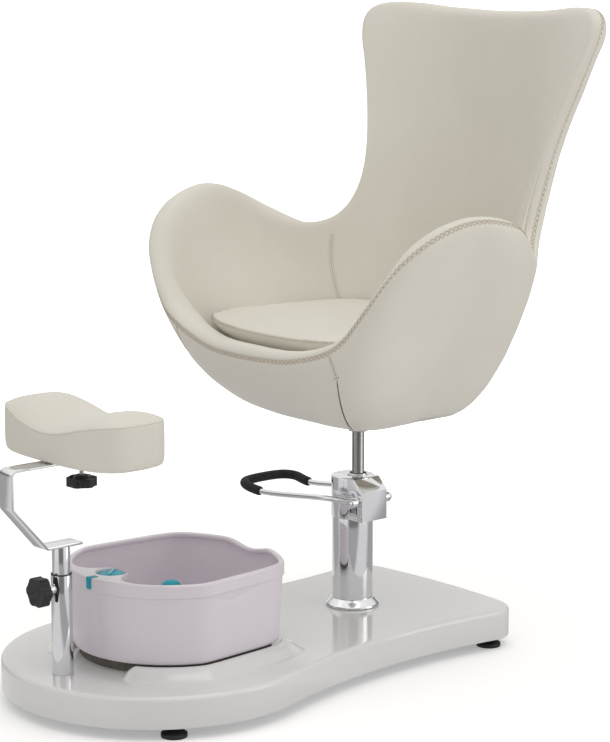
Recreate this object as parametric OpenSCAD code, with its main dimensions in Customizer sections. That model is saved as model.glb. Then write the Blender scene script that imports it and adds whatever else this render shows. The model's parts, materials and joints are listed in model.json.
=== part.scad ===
// Pedicure chair: an upholstered egg seat that turns on a foot-pumped column,
// a lift-out foot bath and a height-adjustable leg rest, all on one keyhole base.
// Millimetres, +Z up, the client faces -Y. The origin is under the middle of the
// whole chair, on the floor. Places are worked out from the axis of the column.

/* [Base] */
// Radius of the round front of the base
front_r = 304; // [280:2:330]
// Distance from the column to the centre of the round front
front_ahead = 508; // [480:4:540]
// Half width of the base at its waist
waist_half = 224; // [205:2:235]
// Distance of the waist ahead of the column
waist_ahead = 14; // [0:2:40]
// Radius of the two rear corners
corner_r = 64; // [45:1:80]
// Distance from the column back to where the rear corners begin
corner_back = 182; // [165:1:200]
// Radius of the gently bowed rear edge
rear_r = 1550; // [1000:50:2500]
// Height of the underside of the base shell above the floor
base_low = 21.5; // [18:0.5:26]
// Height of the top of the base shell above the floor
base_top = 82.5; // [76:0.5:95]
// Wall of the base shell
base_wall = 4; // [3:0.5:6]
// Radius of the rolled top edge of the base
base_roll = 9; // [5:0.5:12]
// Height of the two collars that keep the bath in place
collar_h = 11; // [6:0.5:13]
// Width over which a collar slopes down to the base
collar_w = 46; // [30:1:60]

/* [Feet] */
// Radius of a levelling foot
foot_r = 25; // [18:0.5:28]
// Height of the pad of a levelling foot
foot_h = 13; // [8:0.5:16]
// Radius of the threaded stud of a foot
foot_stud_r = 5; // [4:0.5:6]
// Distance from the column back to the rear feet
rear_foot_back = 196; // [180:1:205]
// Half of the distance between the rear feet
rear_foot_half = 204; // [185:1:208]
// Bearing of the front feet from the centre of the round front, in degrees
front_foot_turn = 32; // [20:1:45]

/* [Frame] */
// Width of the steel tubes of the base frame
frame_w = 40; // [30:1:50]
// Height of the steel tubes of the base frame
frame_h = 25; // [20:1:30]
// Wall of the steel tubes of the base frame
frame_wall = 2; // [1.5:0.5:3]
// Side of the square plate under the column
pump_plate_w = 160; // [140:5:180]
// Thickness of the square plate under the column
pump_plate_t = 6; // [4:0.5:10]

/* [Column] */
// Radius of the column's tube
tube_r = 42; // [38:0.5:46]
// Wall of the column's tube
tube_wall = 2.5; // [1.5:0.5:4]
// Height of the top of the column's cap above the floor
cap_top = 345; // [335:1:360]
// Height at which the cap's sleeve begins
sleeve_low = 258; // [240:1:275]
// Sheet thickness of the cap
cap_wall = 1.7; // [1.2:0.1:2.5]
// Radius of the flange at the foot of the column
flange_r = 55.5; // [50:0.5:65]
// Height of the flange at the foot of the column
flange_h = 18; // [12:0.5:25]
// Height of the flange's upright rim
flange_rim = 4.5; // [2:0.5:8]
// Radius of the ram
ram_r = 12.5; // [11:0.5:14]
// Distance of the ram behind the centre of the column
ram_back = 14.5; // [10:0.5:15.5]
// Radius of the piston at the foot of the ram
piston_r = 20; // [17:0.5:20.5]
// Length of the piston at the foot of the ram
piston_h = 20; // [15:1:24]
// How far the ram can go down from where it stands
ram_down = 80; // [60:5:85]
// How far the ram can rise from where it stands
ram_up = 60; // [40:5:60]
// Height of the top of the pump's body above the floor
body_top = 275; // [268:1:280]
// Radius of the wiper seal round the ram
seal_r = 19; // [17:0.5:21]
// Height of the wiper seal above the cap
seal_h = 6; // [4:0.5:8]

/* [Pump lever] */
// Distance of the pivot beside the centre of the column
pivot_side = 50; // [48:0.5:54]
// Height of the pivot above the floor
pivot_z = 312; // [308:0.5:316]
// Radius of the pivot shaft
shaft_r = 6; // [5:0.5:7]
// Half width of the lever box on the column
box_half = 34; // [30:0.5:37]
// Distance of the lever box's face beside the centre of the column
box_side = 66; // [62:0.5:72]
// Length of the chamfer along the top of the lever box
box_slope = 24; // [15:1:28]
// Half of the distance between the two rods of the pedal
rod_half = 68; // [62:1:75]
// Radius of a pedal rod
rod_r = 6; // [5:0.5:7]
// Distance of the pedal's outer end from the centre of the column
pedal_reach = 282; // [250:2:300]
// Length of the straight rod that shows beside the grip
rod_show = 222; // [180:2:240]
// Radius of the pedal's foam grip
grip_r = 10; // [8:0.5:12]
// Radius of the pump's plunger
plunger_r = 7; // [5:0.5:8]
// Length of the crank inside the lever box
crank_l = 36; // [32:0.5:37]

/* [Bath] */
// Radius of the round front of the bath
bath_r = 203; // [190:1:215]
// Distance from the column to the centre of the bath's round front
bath_ahead = 475; // [465:1:485]
// Height of the bath's rim above the base
bath_h = 177; // [160:1:190]
// Wall of the bath
bath_wall = 3.5; // [2.5:0.5:5]
// Height of the bath's rim band
band_h = 26; // [15:1:35]
// How far the rim band stands out from the wall
band_out = 3; // [1.5:0.5:5]
// Radius of the round tray at the front of the bath
tray_r = 37; // [30:0.5:40]
// Depth of the round tray
tray_deep = 14; // [8:0.5:18]
// Radius of the dial in the tray
dial_r = 23; // [18:0.5:26]
// Radius of the massage dome on the bath's floor
dome_r = 19; // [14:0.5:24]
// Height of the top of the massage dome above the base
dome_top = 126; // [110:1:135]

/* [Leg rest] */
// Distance of the leg rest's post ahead of the column
post_ahead = 735; // [725:1:745]
// Radius of the outer post
post_r = 20; // [18:0.5:22]
// Wall of both tubes of the post
post_wall = 2; // [1.5:0.1:2.5]
// Height of the top of the outer post above the floor
post_top = 275; // [260:1:290]
// Radius of the sliding inner post
slide_r = 17; // [15.5:0.5:17]
// Length of inner post that shows above the outer post
slide_show = 55; // [50:1:70]
// Length of inner post that is hidden inside the outer post
slide_hidden = 125; // [125:5:150]
// Length of the plastic bush in the outer post
bush_h = 50; // [40:1:60]
// Width of the flat bar
bar_w = 40; // [30:1:50]
// Thickness of the flat bar
bar_t = 5; // [4:0.5:6]
// Reach of the flat bar ahead of the post
bar_reach = 119; // [105:1:130]
// Height of the flat bar from its foot to its top arm
bar_h = 162; // [150:1:175]
// Height over which the flat bar slopes outwards
bar_rise = 88; // [70:1:95]
// Distance of the pad's stud behind the post
stud_back = 50; // [40:1:60]
// Radius of the hand knobs
knob_r = 29; // [24:0.5:32]
// Height of the clamp knob above the floor
clamp_z = 249; // [240:1:255]

/* [Leg pad] */
// Length of the pad across the chair
pad_l = 376; // [340:2:400]
// Depth of the pad along the chair
pad_d = 236; // [210:2:250]
// Height of the pad at its two ends
pad_h = 84; // [70:1:95]
// Depth of the hollow across the middle of the pad
pad_hollow = 24; // [10:1:32]
// Thickness of the pad's board
board_t = 12; // [9:0.5:15]

/* [Seat] */
// Width of the seat over its arms
seat_w = 870; // [820:5:900]
// Distance from the front lip to the top of the back, between rim middles
seat_d = 693; // [660:3:720]
// Height of the seat from its foot to the top of its back, between rim middles
seat_h = 800; // [760:5:840]
// Distance of the front lip ahead of the ram
lip_ahead = 288; // [270:2:300]
// Height of the middle of the shell's foot above the floor
seat_foot_z = 488; // [486:1:495]
// Radius of the padded roll round the rim
roll_r = 19; // [16:0.5:22]
// Thickness of the moulded shell inside the padding
shell_t = 10; // [6:0.5:12]
// Half width of the opening in the shell's foot
seat_foot_x = 95; // [85:1:105]
// Half length of the opening in the shell's foot
seat_foot_y = 135; // [125:1:145]
// Distance of the middle of that opening behind the ram
seat_foot_back = 88; // [80:1:92]
// Distance from the side of the seat to the side of the loose cushion
cushion_side = 200; // [190:1:220]
// Depth of the loose cushion
cushion_d = 478; // [440:2:490]
// Height of the underside of the cushion above the shell's foot
cushion_low = 112; // [100:1:125]
// Thickness of the cushion at its edge
cushion_edge = 60; // [45:1:70]
// Height of the crown in the middle of the cushion
cushion_crown = 26; // [10:1:35]

/* [Fits and fasteners] */
// Gap between pieces that face each other without rubbing
fit_gap = 0.3; // [0.2:0.05:0.4]
// Radial clearance of every running fit
run_gap = 0.05; // [0.02:0.01:0.1]
// Radius of the bolts
bolt_r = 4; // [3:0.5:5]
// Radius of a bolt's head
bolt_head_r = 7; // [6:0.5:9]
// Height of a bolt's head
bolt_head_h = 5; // [3:0.5:6]

/* [Hidden] */
$fn = 64;

// Colours
ivory = "#cdc8bc";
plastic = "#dedcd8";
lilac = "#c9c0c6";
teal = "#2ba3b5";
chrome = "#c4c8cc";
steel = "#8d9194";
black = "#232426";

// Outlines as points
function dir(turn) = [cos(turn), sin(turn)];
function rest(list) = [for (i = [1:len(list) - 1]) list[i]];
function flip(p) = len(p) == 2 ? [-p[0], p[1]] : [-p[0], p[1], p[2]];
function whole(half) = concat(half, [for (i = [len(half) - 2:-1:1]) flip(half[i])]);
function arc(c, r, from, to, steps) = [for (i = [0:steps]) c + r * dir(from + (to - from) * i / steps)];
function squircle(rx, ry, power, steps) = [for (i = [0:steps - 1]) let (d = dir(360 * i / steps))
    [rx * sign(d[0]) * pow(abs(d[0]), 2 / power), ry * sign(d[1]) * pow(abs(d[1]), 2 / power)]];
function inset(pts, d) = [for (i = [0:len(pts) - 1])
    let (n = len(pts), t = pts[(i + 1) % n] - pts[(i + n - 1) % n]) pts[i] + d * [-t[1], t[0]] / norm(t)];
function shift(pts, c) = [for (p = pts) p + c];
function at_height(pts, z) = [for (p = pts) [p[0], p[1], z]];

// Centripetal Catmull-Rom curve through p1 and p2
function stretch(a, b) = sqrt(norm(b - a));
function curve(p0, p1, p2, p3, u) = let (
    t1 = stretch(p0, p1),
    t2 = t1 + stretch(p1, p2),
    t3 = t2 + stretch(p2, p3),
    t = t1 + (t2 - t1) * u,
    a1 = (p0 * (t1 - t) + p1 * t) / t1,
    a2 = (p1 * (t2 - t) + p2 * (t - t1)) / (t2 - t1),
    a3 = (p2 * (t3 - t) + p3 * (t - t2)) / (t3 - t2),
    b1 = (a1 * (t2 - t) + a2 * t) / t2,
    b2 = (a2 * (t3 - t) + a3 * (t - t1)) / (t3 - t1))
    (b1 * (t2 - t) + b2 * (t - t1)) / (t2 - t1);
function spline(knots, first, last, steps) = let (all = concat([first], knots, [last]))
    concat([for (i = [1:len(knots) - 1], k = [0:steps - 1])
        curve(all[i - 1], all[i], all[i + 1], all[i + 2], k / steps)], [knots[len(knots) - 1]]);

// Solid between stacked rings that have the same number of points
module loft(rings) {
    n = len(rings[0]);
    m = len(rings);
    polyhedron(
        points = [for (ring = rings) each ring],
        faces = concat(
            [[for (i = [0:n - 1]) i]],
            [[for (i = [n - 1:-1:0]) (m - 1) * n + i]],
            [for (j = [0:m - 2], i = [0:n - 1]) let (a = j * n + i, b = j * n + (i + 1) % n)
                each [[a, a + n, b + n], [a, b + n, b]]]));
}

// Solid made of sections that follow each other round a closed loop. From the point
// number back on, a section runs back along the path it came by, so its faces are split
// the other way and lie parallel to those of the next layer.
module loop(sections, back) {
    n = len(sections[0]);
    m = len(sections);
    polyhedron(
        points = [for (section = sections) each section],
        faces = [for (j = [0:m - 1], i = [0:n - 1])
            let (k = (i + 1) % n, next = (j + 1) % m * n,
                a = j * n + i, b = j * n + k, c = next + k, d = next + i)
            each i < back ? [[a, b, c], [a, c, d]] : [[a, b, d], [b, c, d]]]);
}

// Tube between two levels
module tube(r_out, r_in, low, high) {
    translate([0, 0, low])
        difference() {
            cylinder(h = high - low, r = r_out);
            translate([0, 0, -high])
                cylinder(h = 3 * high, r = r_in);
        }
}

// Round bar between two levels
module bar(r, low, high) {
    translate([0, 0, low])
        cylinder(h = high - low, r = r);
}

// Round rod from one point to another
module rod(p, q, r) {
    v = q - p;
    translate(p)
        rotate([0, acos(v[2] / norm(v)), atan2(v[1], v[0])])
            cylinder(h = norm(v), r = r);
}

// Rod that follows a list of points
module rod_path(pts, r) {
    sides = 12;
    loft([for (i = [0:len(pts) - 1]) let (
        v = pts[min(i + 1, len(pts) - 1)] - pts[max(i - 1, 0)],
        t = v / norm(v),
        across = cross(t, [0, 0, 1]) / norm(cross(t, [0, 0, 1])),
        up = cross(t, across))
        [for (k = [0:sides - 1]) pts[i] + r * (cos(360 * k / sides) * across + sin(360 * k / sides) * up)]]);
}

// Hexagon bolt that points up from a level
module bolt(length) {
    bar(bolt_r, 0, length);
    translate([0, 0, -bolt_head_h])
        cylinder(h = bolt_head_h, r = bolt_head_r, $fn = 6);
}

// Moves the chair from the column's axis to the origin under its middle
front_y = post_ahead + bar_reach + bar_t / 2;
rear_y = ram_back + seat_d - lip_ahead + roll_r;
module placed() {
    translate([0, (front_y - rear_y) / 2, 0])
        children();
}

// Base: a round front, a waist, two rear corners and a bowed rear edge
front_c = [0, -front_ahead];
waist_r = (front_r^2 - waist_half^2 - (front_ahead - waist_ahead)^2) / (2 * (waist_half - front_r));
waist_c = [waist_half + waist_r, -waist_ahead];
waist_turn = atan2(front_ahead - waist_ahead, waist_c[0]);
corner_turn = asin((corner_back + waist_ahead) / waist_r);
corner_c = waist_c + (waist_r + corner_r) * dir(180 - corner_turn);
rear_c = [0, corner_c[1] - sqrt((rear_r - corner_r)^2 - corner_c[0]^2)];
rear_turn = atan2(corner_c[1] - rear_c[1], corner_c[0]);
function base_outline(d) = whole(concat(
    arc(front_c, front_r - d, -90, waist_turn, 24),
    rest(arc(waist_c, waist_r + d, 180 + waist_turn, 180 - corner_turn, 10)),
    rest(arc(corner_c, corner_r - d, -corner_turn, rear_turn, 8)),
    rest(arc(rear_c, rear_r - d, rear_turn, 90, 3))));
function rolled_edge(r, z, steps) = [for (i = [0:steps]) let (turn = 90 * i / steps)
    at_height(base_outline(r * (1 - cos(turn))), z - r + r * sin(turn))];
frame_top = base_low + frame_w;
frame_low = frame_top - frame_h;
front_foot = front_c + (front_r - foot_r - base_wall / 2) * dir(-front_foot_turn);
rear_foot = [rear_foot_half, rear_foot_back];
foot_spots = [flip(front_foot), front_foot, flip(rear_foot), rear_foot];
plate_top = frame_top + pump_plate_t;
boss_r = foot_stud_r * 1.8;
stand_r = base_roll;
stand_spots = [for (side = [-1, 1], s = [0.5, 0.75]) each
    [[side * s * front_foot[0], front_foot[1]], [side * s * rear_foot_half, rear_foot_back]]];

// Bath: a round front and sides that close in towards the rear corners
bath_c = [0, -bath_ahead];
bath_crease = 20;
bath_side_share = [[0.955, -0.34], [0.916, 0.123], [0.857, 0.616], [0.764, 0.773], [0.355, 0.975], [0, 1]];
bath_side = [for (p = bath_side_share) bath_r * p];
bath_half = concat(arc([0, 0], bath_r, -90, -bath_crease, 16),
    spline(bath_side, 2 * bath_side[0] - bath_side[1], flip(bath_side[4]), 4));
bath_low = base_top + fit_gap;
bath_top = base_top + bath_h;
bath_skirt = base_top + collar_h + 1.5 * fit_gap;
bath_floor = bath_low + bath_wall;
lip_t = bath_wall + band_out;
notch_half = 0.36 * bath_r;
notch_deep = 0.42 * band_h;
function notch(p) = p[1] > 0 && abs(p[0]) < notch_half ? (1 + cos(180 * p[0] / notch_half)) / 2 : 0;
function bath_ring(scale, d, z, dip) = [for (p = inset(scale * whole(bath_half), d))
    [p[0] + bath_c[0], p[1] + bath_c[1], z - dip * notch_deep * notch(p)]];
wall_share = 0.95;
foot_share = 0.88;
tray_y = -bath_ahead - 0.71 * bath_r;
tray_top = bath_top - bath_wall;
tab_w = 12;
tab_t = 0.7 * bath_wall;
dome_y = -bath_ahead - dome_r / 2;

// Column and pump
spine_end = post_ahead + post_r;
body_low = plate_top + fit_gap;
body_r = tube_r - tube_wall - fit_gap;
tube_top = pivot_z - 2 * shaft_r;
sleeve_r = tube_r + fit_gap;
ram_c = [0, ram_back];
ram_stand = body_low + piston_h / 2 + ram_down + 6 * fit_gap;
ram_bush_low = ram_stand + piston_h + ram_up + 6 * fit_gap;
plate_low = seat_foot_z - roll_r;
hub_r = 1.6 * ram_r;
hub_h = 1.7 * ram_r;
hub_lid = 0.24 * ram_r;
ram_top = plate_low - hub_lid - fit_gap;
plunger_x = pivot_side - crank_l;
plunger_y = -(piston_r - fit_gap) * 0.9;
plunger_top = pivot_z - shaft_r - fit_gap;
plunger_head_h = 0.6 * plunger_r;
crank_half = shaft_r * 0.8;
cheek_t = 2 * cap_wall;
boss_in = box_half + fit_gap;

// Leg rest
post_c = [0, -post_ahead];
stud_c = [0, stud_back - post_ahead];
bar_low = post_top + slide_show + fit_gap;
arm_z = bar_low + bar_h - bar_t / 2;
arm_top = arm_z + bar_t / 2;
bend_r = 2 * bar_t;
spigot_h = 0.55 * slide_show;
post_bore = post_r - post_wall;
knob_t = 0.7 * knob_r;
board_low = arm_top + fit_gap;
clamp_face = post_ahead + post_r + knob_t;
stud_r = foot_stud_r * 0.8;

// Seat: the rim's middle line, then one rib from the foot to each point of the rim
rim_x_share = [0, 0.33, 0.6, 0.78, 0.905, 0.97, 1, 0.87, 0.735, 0.65, 0.615, 0.665, 0.757, 0.813, 0.605,
               0.325, 0];
rim_y_share = [0, 0.015, 0.03, 0.045, 0.105, 0.28, 0.43, 0.567, 0.67, 0.725, 0.79, 0.835, 0.87, 0.9, 0.955,
               0.993, 1];
rim_z_share = [0.19, 0.193, 0.24, 0.353, 0.465, 0.53, 0.51, 0.438, 0.4, 0.433, 0.556, 0.72, 0.865, 0.98, 1,
               0.988, 0.982];
rim_turn = [-90, -66, -48, -36, -25, -9, 6, 20, 32, 41, 48, 54, 60, 66, 73, 81, 90];
foot_reach_share = [[-90, 0.5], [-50, 0.85], [-20, 0.24], [10, 0.2], [40, 0.42], [65, 0.42], [90, 0.9]];
rim_drop_share = [[-90, 0.22], [-50, 0.04], [-20, 0.17], [10, 0.16], [40, 0.33], [65, 0.4], [90, 0.33]];
rim_lean_share = [[-90, 0.15], [-50, 0.07], [-20, 0.01], [10, -0.02], [40, -0.15], [65, -0.2], [90, -0.04]];
rim_inset_share = [[32, 0], [41, 0.14], [54, 0.45], [66, 0.45], [73, 0.3], [81, 0.16], [90, 0]];
rim_knots = [for (i = [0:len(rim_turn) - 1]) [rim_x_share[i] * (seat_w / 2 - roll_r),
    rim_y_share[i] * seat_d - lip_ahead + ram_back, seat_foot_z + rim_z_share[i] * seat_h]];
rim_half = spline(rim_knots, flip(rim_knots[1]), flip(rim_knots[len(rim_knots) - 2]), 2);
function rib(i) = let (
    k = floor(i / 2),
    turn = i % 2 == 0 ? rim_turn[k] : (rim_turn[k] + rim_turn[k + 1]) / 2,
    out = [cos(turn), sin(turn), 0],
    b = [seat_foot_x * cos(turn), seat_foot_back + ram_back + seat_foot_y * sin(turn), seat_foot_z],
    c = rim_half[i],
    reach = norm([c[0] - b[0], c[1] - b[1]]),
    rise = c[2] - b[2])
    [b, b + out * lookup(turn, foot_reach_share) * reach,
     c + (out * lookup(turn, rim_lean_share) - [lookup(turn, rim_inset_share), 0, 1])
         * lookup(turn, rim_drop_share) * rise, c];
function along(q, u) = (1 - u)^3 * q[0] + 3 * (1 - u)^2 * u * q[1] + 3 * (1 - u) * u^2 * q[2] + u^3 * q[3];
function slope(q, u) = let (
    v = (1 - u)^2 * (q[1] - q[0]) + 2 * (1 - u) * u * (q[2] - q[1]) + u^2 * (q[3] - q[2]))
    v / norm(v);
rib_half = [for (i = [0:len(rim_half) - 1]) rib(i)];
ribs = concat(rib_half, [for (i = [len(rib_half) - 2:-1:1]) [for (p = rib_half[i]) flip(p)]]);
stations = len(ribs);
function wall_normal(i, u) = let (
    v = along(ribs[(i + 1) % stations], u) - along(ribs[(i + stations - 1) % stations], u),
    n = cross(v, slope(ribs[i], u)))
    n / norm(n);
// Point at share u of rib i, at distance d outside its middle surface and t beyond it
function wall_at(i, u, d, t = 0) = along(ribs[i], u) + d * wall_normal(i, u) + t * slope(ribs[i], u);
// Share of rib i at which it is a given distance from its foot
function share_at(i, away) = min([for (u = [0.02:0.01:1])
    if (norm(along(ribs[i], u) - ribs[i][0]) > away) u]);
board_out = 0.23 * seat_foot_x;
wall_in = shell_t / 2 + fit_gap;
seat_top = seat_foot_z + shell_t / 2;
flange_low = plate_low + pump_plate_t + fit_gap;
flange_top = seat_foot_z - shell_t / 2 - fit_gap;
cushion_z = seat_foot_z + cushion_low;
cushion_w = seat_w - 2 * cushion_side;
deck_low = seat_top + fit_gap;
bolt_spots = [for (side = [-1, 1], s = [-0.6, 0.45])
    [side * 0.5 * seat_foot_x, ram_back + seat_foot_back + s * seat_foot_y]];
pump_bolt_share = [[0.69, -0.29], [0.726, 0.24]];
pump_bolt_spots = [for (side = [-1, 1], s = pump_bolt_share) [side * s[0] * tube_r, s[1] * tube_r]];
plunger_low = body_top - 5 * plunger_r;
spring_wire = 0.14 * plunger_r;
plunger_head_r = plunger_r + fit_gap + 2 * spring_wire;
spring_turns = 5;
seal_neck_r = (seal_r + ram_r) / 2;
shaft_half = box_half + 2 * shaft_r;
pedal_boss_r = 1.75 * shaft_r;
pedal_boss_l = 3 * shaft_r;
function pedal_side(side) = [
    [0.92 * pivot_side, side * (box_half + 1.4 * rod_r), pivot_z],
    [0.2 * pivot_side, side * rod_half, pivot_z + rod_r],
    [0.2 * pivot_side - rod_show, side * rod_half, pivot_z - 2.8 * rod_r],
    [-0.93 * pedal_reach, side * rod_half, pivot_z - 1.8 * rod_r],
    [-pedal_reach, side * 0.74 * rod_half, pivot_z - 1.5 * rod_r]];
pedal_knots = concat(pedal_side(-1), [for (i = [4:-1:0]) pedal_side(1)[i]]);
pedal_steps = 5;
pedal_path = spline(pedal_knots, 2 * pedal_knots[0] - pedal_knots[1], 2 * pedal_knots[9] - pedal_knots[8],
    pedal_steps);
grip_path = [for (i = [2 * pedal_steps:7 * pedal_steps]) pedal_path[i]];

// Sub-parts
module collar() {
    ring = [for (p = whole(bath_half)) p + bath_c];
    inner = inset(ring, 0.03 * bath_r);
    outer = inset(ring, -collar_w);
    low = base_top - base_wall / 2;
    high = base_top + collar_h;
    loft([for (i = [8:29]) [
        [inner[i][0], inner[i][1], low],
        [inner[i][0], inner[i][1], high],
        [ring[i][0], ring[i][1], high],
        [outer[i][0], outer[i][1], low]]]);
}

module base_shell() {
    color(plastic) placed() difference() {
        union() {
            loft(concat(
                [at_height(base_outline(base_wall), base_top - base_wall),
                 at_height(base_outline(base_wall), base_low),
                 at_height(base_outline(0), base_low)],
                rolled_edge(base_roll, base_top, 4)));
            for (side = [0, 1])
                mirror([side, 0, 0])
                    collar();
            for (spot = stand_spots)
                translate(spot)
                    bar(stand_r, frame_top + fit_gap, base_top - base_wall / 2);
        }
        bar(tube_r + fit_gap, 0, cap_top);
        translate(post_c)
            bar(post_r + fit_gap, 0, cap_top);
    }
}

module frame_tubes(wall, extra) {
    w = frame_w / 2 - wall;
    h = frame_h - 2 * wall;
    for (row = [[front_foot[0] + boss_r, front_foot[1]], [rear_foot_half + boss_r, rear_foot_back]])
        translate([-row[0] - extra, row[1] - w, frame_low + wall])
            cube([2 * (row[0] + extra), 2 * w, h]);
    translate([-w, -spine_end - extra, frame_low + wall])
        cube([2 * w, spine_end + rear_foot_back + frame_w / 2 + 2 * extra, h]);
}

module base_frame() {
    color(black) placed() {
        difference() {
            union() {
                difference() {
                    frame_tubes(0, 0);
                    frame_tubes(frame_wall, frame_w);
                }
                for (spot = foot_spots)
                    translate(spot)
                        bar(boss_r, base_low + frame_wall, frame_top);
            }
            for (spot = foot_spots)
                translate(spot)
                    bar(foot_stud_r + run_gap, 0, base_top);
        }
        difference() {
            translate([-pump_plate_w / 2, -pump_plate_w / 2, frame_top])
                cube([pump_plate_w, pump_plate_w, pump_plate_t]);
            for (spot = pump_bolt_spots)
                translate(spot)
                    bar(bolt_r + fit_gap, 0, base_top);
        }
    }
}

module foot_pad(i) {
    color(black) placed() translate(foot_spots[i]) {
        rotate_extrude()
            polygon([[0, 0], [foot_r, 0], [foot_r, 0.6 * foot_h], [2 * foot_stud_r, foot_h], [0, foot_h]]);
        bar(foot_stud_r, foot_h, frame_top - frame_wall);
    }
}

module foot_pad_1() {
    foot_pad(0);
}

module foot_pad_2() {
    foot_pad(1);
}

module foot_pad_3() {
    foot_pad(2);
}

module foot_pad_4() {
    foot_pad(3);
}

module pump_flange() {
    low = base_top + fit_gap;
    inner = tube_r + fit_gap;
    color(chrome) placed() rotate_extrude()
        polygon([[inner, low], [flange_r, low], [flange_r, low + flange_rim],
                 [inner + cap_wall, low + flange_h], [inner, low + flange_h]]);
}

module pump_tube() {
    color(chrome) placed() tube(tube_r, tube_r - tube_wall, plate_top, tube_top);
}

module pump_body() {
    color(steel) placed() difference() {
        bar(body_r, body_low, body_top);
        translate(ram_c)
            bar(piston_r + run_gap, body_low + piston_h / 2, cap_top);
        translate([plunger_x, plunger_y])
            bar(plunger_r + run_gap, plunger_low - 2 * plunger_r, cap_top);
        for (spot = pump_bolt_spots)
            translate(spot)
                bar(bolt_r + fit_gap, 0, plate_top + 8 * bolt_r);
    }
}

module ram_bush() {
    color("#b58e4a") placed() translate(ram_c)
        tube(piston_r - fit_gap, ram_r + run_gap, ram_bush_low, body_top);
}

module lever_box(wall, side_wall) {
    h = box_side - wall;
    rotate([90, 0, 0])
        translate([0, 0, side_wall - box_half])
            linear_extrude(2 * (box_half - side_wall))
                polygon([[0, sleeve_low + wall], [h, sleeve_low + wall], [h, cap_top - box_slope],
                         [box_side - box_slope, cap_top - wall], [0, cap_top - wall]]);
}

module pump_cap() {
    window = 0.6 * box_half;
    color(chrome) placed() difference() {
        union() {
            bar(sleeve_r + cap_wall, sleeve_low, cap_top);
            lever_box(0, 0);
        }
        bar(sleeve_r, 0, cap_top - cap_wall);
        lever_box(cap_wall, cheek_t);
        translate(ram_c)
            bar(seal_neck_r + fit_gap, 0, 2 * cap_top);
        translate([pivot_side, 2 * box_half, pivot_z])
            rotate([90, 0, 0])
                cylinder(h = 4 * box_half, r = shaft_r + run_gap);
        translate([pivot_side - window, -box_half - window / 2, pivot_z - pedal_boss_r - 1.1 * window])
            cube(window);
    }
}

module ram_seal() {
    color(black) placed() translate(ram_c) {
        tube(seal_r, ram_r + run_gap, cap_top + fit_gap, cap_top + seal_h);
        tube(seal_neck_r, ram_r + run_gap, cap_top - 2 * cap_wall, cap_top + seal_h);
    }
}

module pump_bolts() {
    color(steel) placed() for (spot = pump_bolt_spots)
        translate([spot[0], spot[1], frame_top])
            bolt(pump_plate_t + 7 * bolt_r);
}

module ram() {
    color(chrome) placed() translate(ram_c) {
        bar(ram_r, ram_stand + piston_h, ram_top);
        bar(piston_r, ram_stand, ram_stand + piston_h);
    }
}

module pump_plunger() {
    color(steel) placed() translate([plunger_x, plunger_y]) {
        bar(plunger_r, plunger_low, plunger_top - plunger_head_h);
        bar(plunger_head_r, plunger_top - plunger_head_h, plunger_top);
    }
}

module plunger_spring() {
    steps = 12 * spring_turns;
    mean_r = plunger_r + fit_gap + spring_wire;
    low = body_top + fit_gap + spring_wire;
    high = plunger_top - plunger_head_h - fit_gap - spring_wire;
    color(steel) placed() translate([plunger_x, plunger_y])
        loft([for (i = [0:steps])
            let (out = dir(360 * spring_turns * i / steps), z = low + (high - low) * i / steps)
            [for (k = [5:-1:0]) let (d = dir(60 * k))
                [out[0] * (mean_r + spring_wire * d[0]), out[1] * (mean_r + spring_wire * d[0]),
                 z + spring_wire * d[1]]]]);
}

module pedal_frame() {
    color(chrome) placed() difference() {
        union() {
            rod_path(pedal_path, rod_r);
            for (side = [-1, 1])
                rod([pivot_side, side * boss_in, pivot_z],
                    [pivot_side, side * (boss_in + pedal_boss_l), pivot_z], pedal_boss_r);
        }
        rod([pivot_side, -shaft_half - fit_gap, pivot_z], [pivot_side, shaft_half + fit_gap, pivot_z],
            shaft_r + run_gap);
        rod([pivot_side, -2 * box_half, pivot_z], [pivot_side, 2 * box_half, pivot_z],
            0.5 * shaft_r + fit_gap);
    }
}

module pedal_grip() {
    color(black) placed() difference() {
        rod_path(grip_path, grip_r);
        rod_path(pedal_path, rod_r + run_gap);
    }
}

module pivot_shaft() {
    color(steel) placed() {
        rod([pivot_side, -shaft_half, pivot_z], [pivot_side, shaft_half, pivot_z], shaft_r);
        for (end = [[pivot_side, 1.5 * shaft_r], [plunger_x, shaft_r]])
            rod([end[0], plunger_y - crank_half, pivot_z],
                [end[0], plunger_y + crank_half, pivot_z], end[1]);
        translate([plunger_x, plunger_y - crank_half, pivot_z - crank_half])
            cube([crank_l, 2 * crank_half, 2 * crank_half]);
    }
}

module pivot_bolts() {
    color(chrome) placed() for (side = [-1, 1]) {
        end = side * (boss_in + pedal_boss_l + run_gap);
        rod([pivot_side, side * (shaft_half + fit_gap), pivot_z], [pivot_side, end, pivot_z], 0.5 * shaft_r);
        rod([pivot_side, end, pivot_z], [pivot_side, end + side * bolt_head_h, pivot_z], bolt_head_r);
    }
}

module foot_bath() {
    color(lilac) placed() loft([
        bath_ring(foot_share, 0, bath_low, 0),
        bath_ring(foot_share, 0, bath_skirt, 0),
        bath_ring(wall_share - 0.02, 0, bath_skirt, 0),
        bath_ring(wall_share, 0, bath_skirt + bath_wall, 0),
        bath_ring(1 - band_out / bath_r, 0, bath_top - band_h, 0),
        bath_ring(1, 0, bath_top - band_h + band_out / 2, 0),
        bath_ring(1, 0, bath_top - lip_t / 2, 1),
        bath_ring(1, 0.2 * lip_t, bath_top, 1),
        bath_ring(1, 0.8 * lip_t, bath_top, 1),
        bath_ring(1, lip_t, bath_top - lip_t / 2, 1),
        bath_ring(1, lip_t, bath_top - band_h, 0),
        bath_ring(wall_share, bath_wall, bath_skirt + 3 * bath_wall, 0),
        bath_ring(foot_share, bath_wall, bath_skirt + bath_wall, 0),
        bath_ring(foot_share, bath_wall, bath_floor, 0)]);
}

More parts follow.
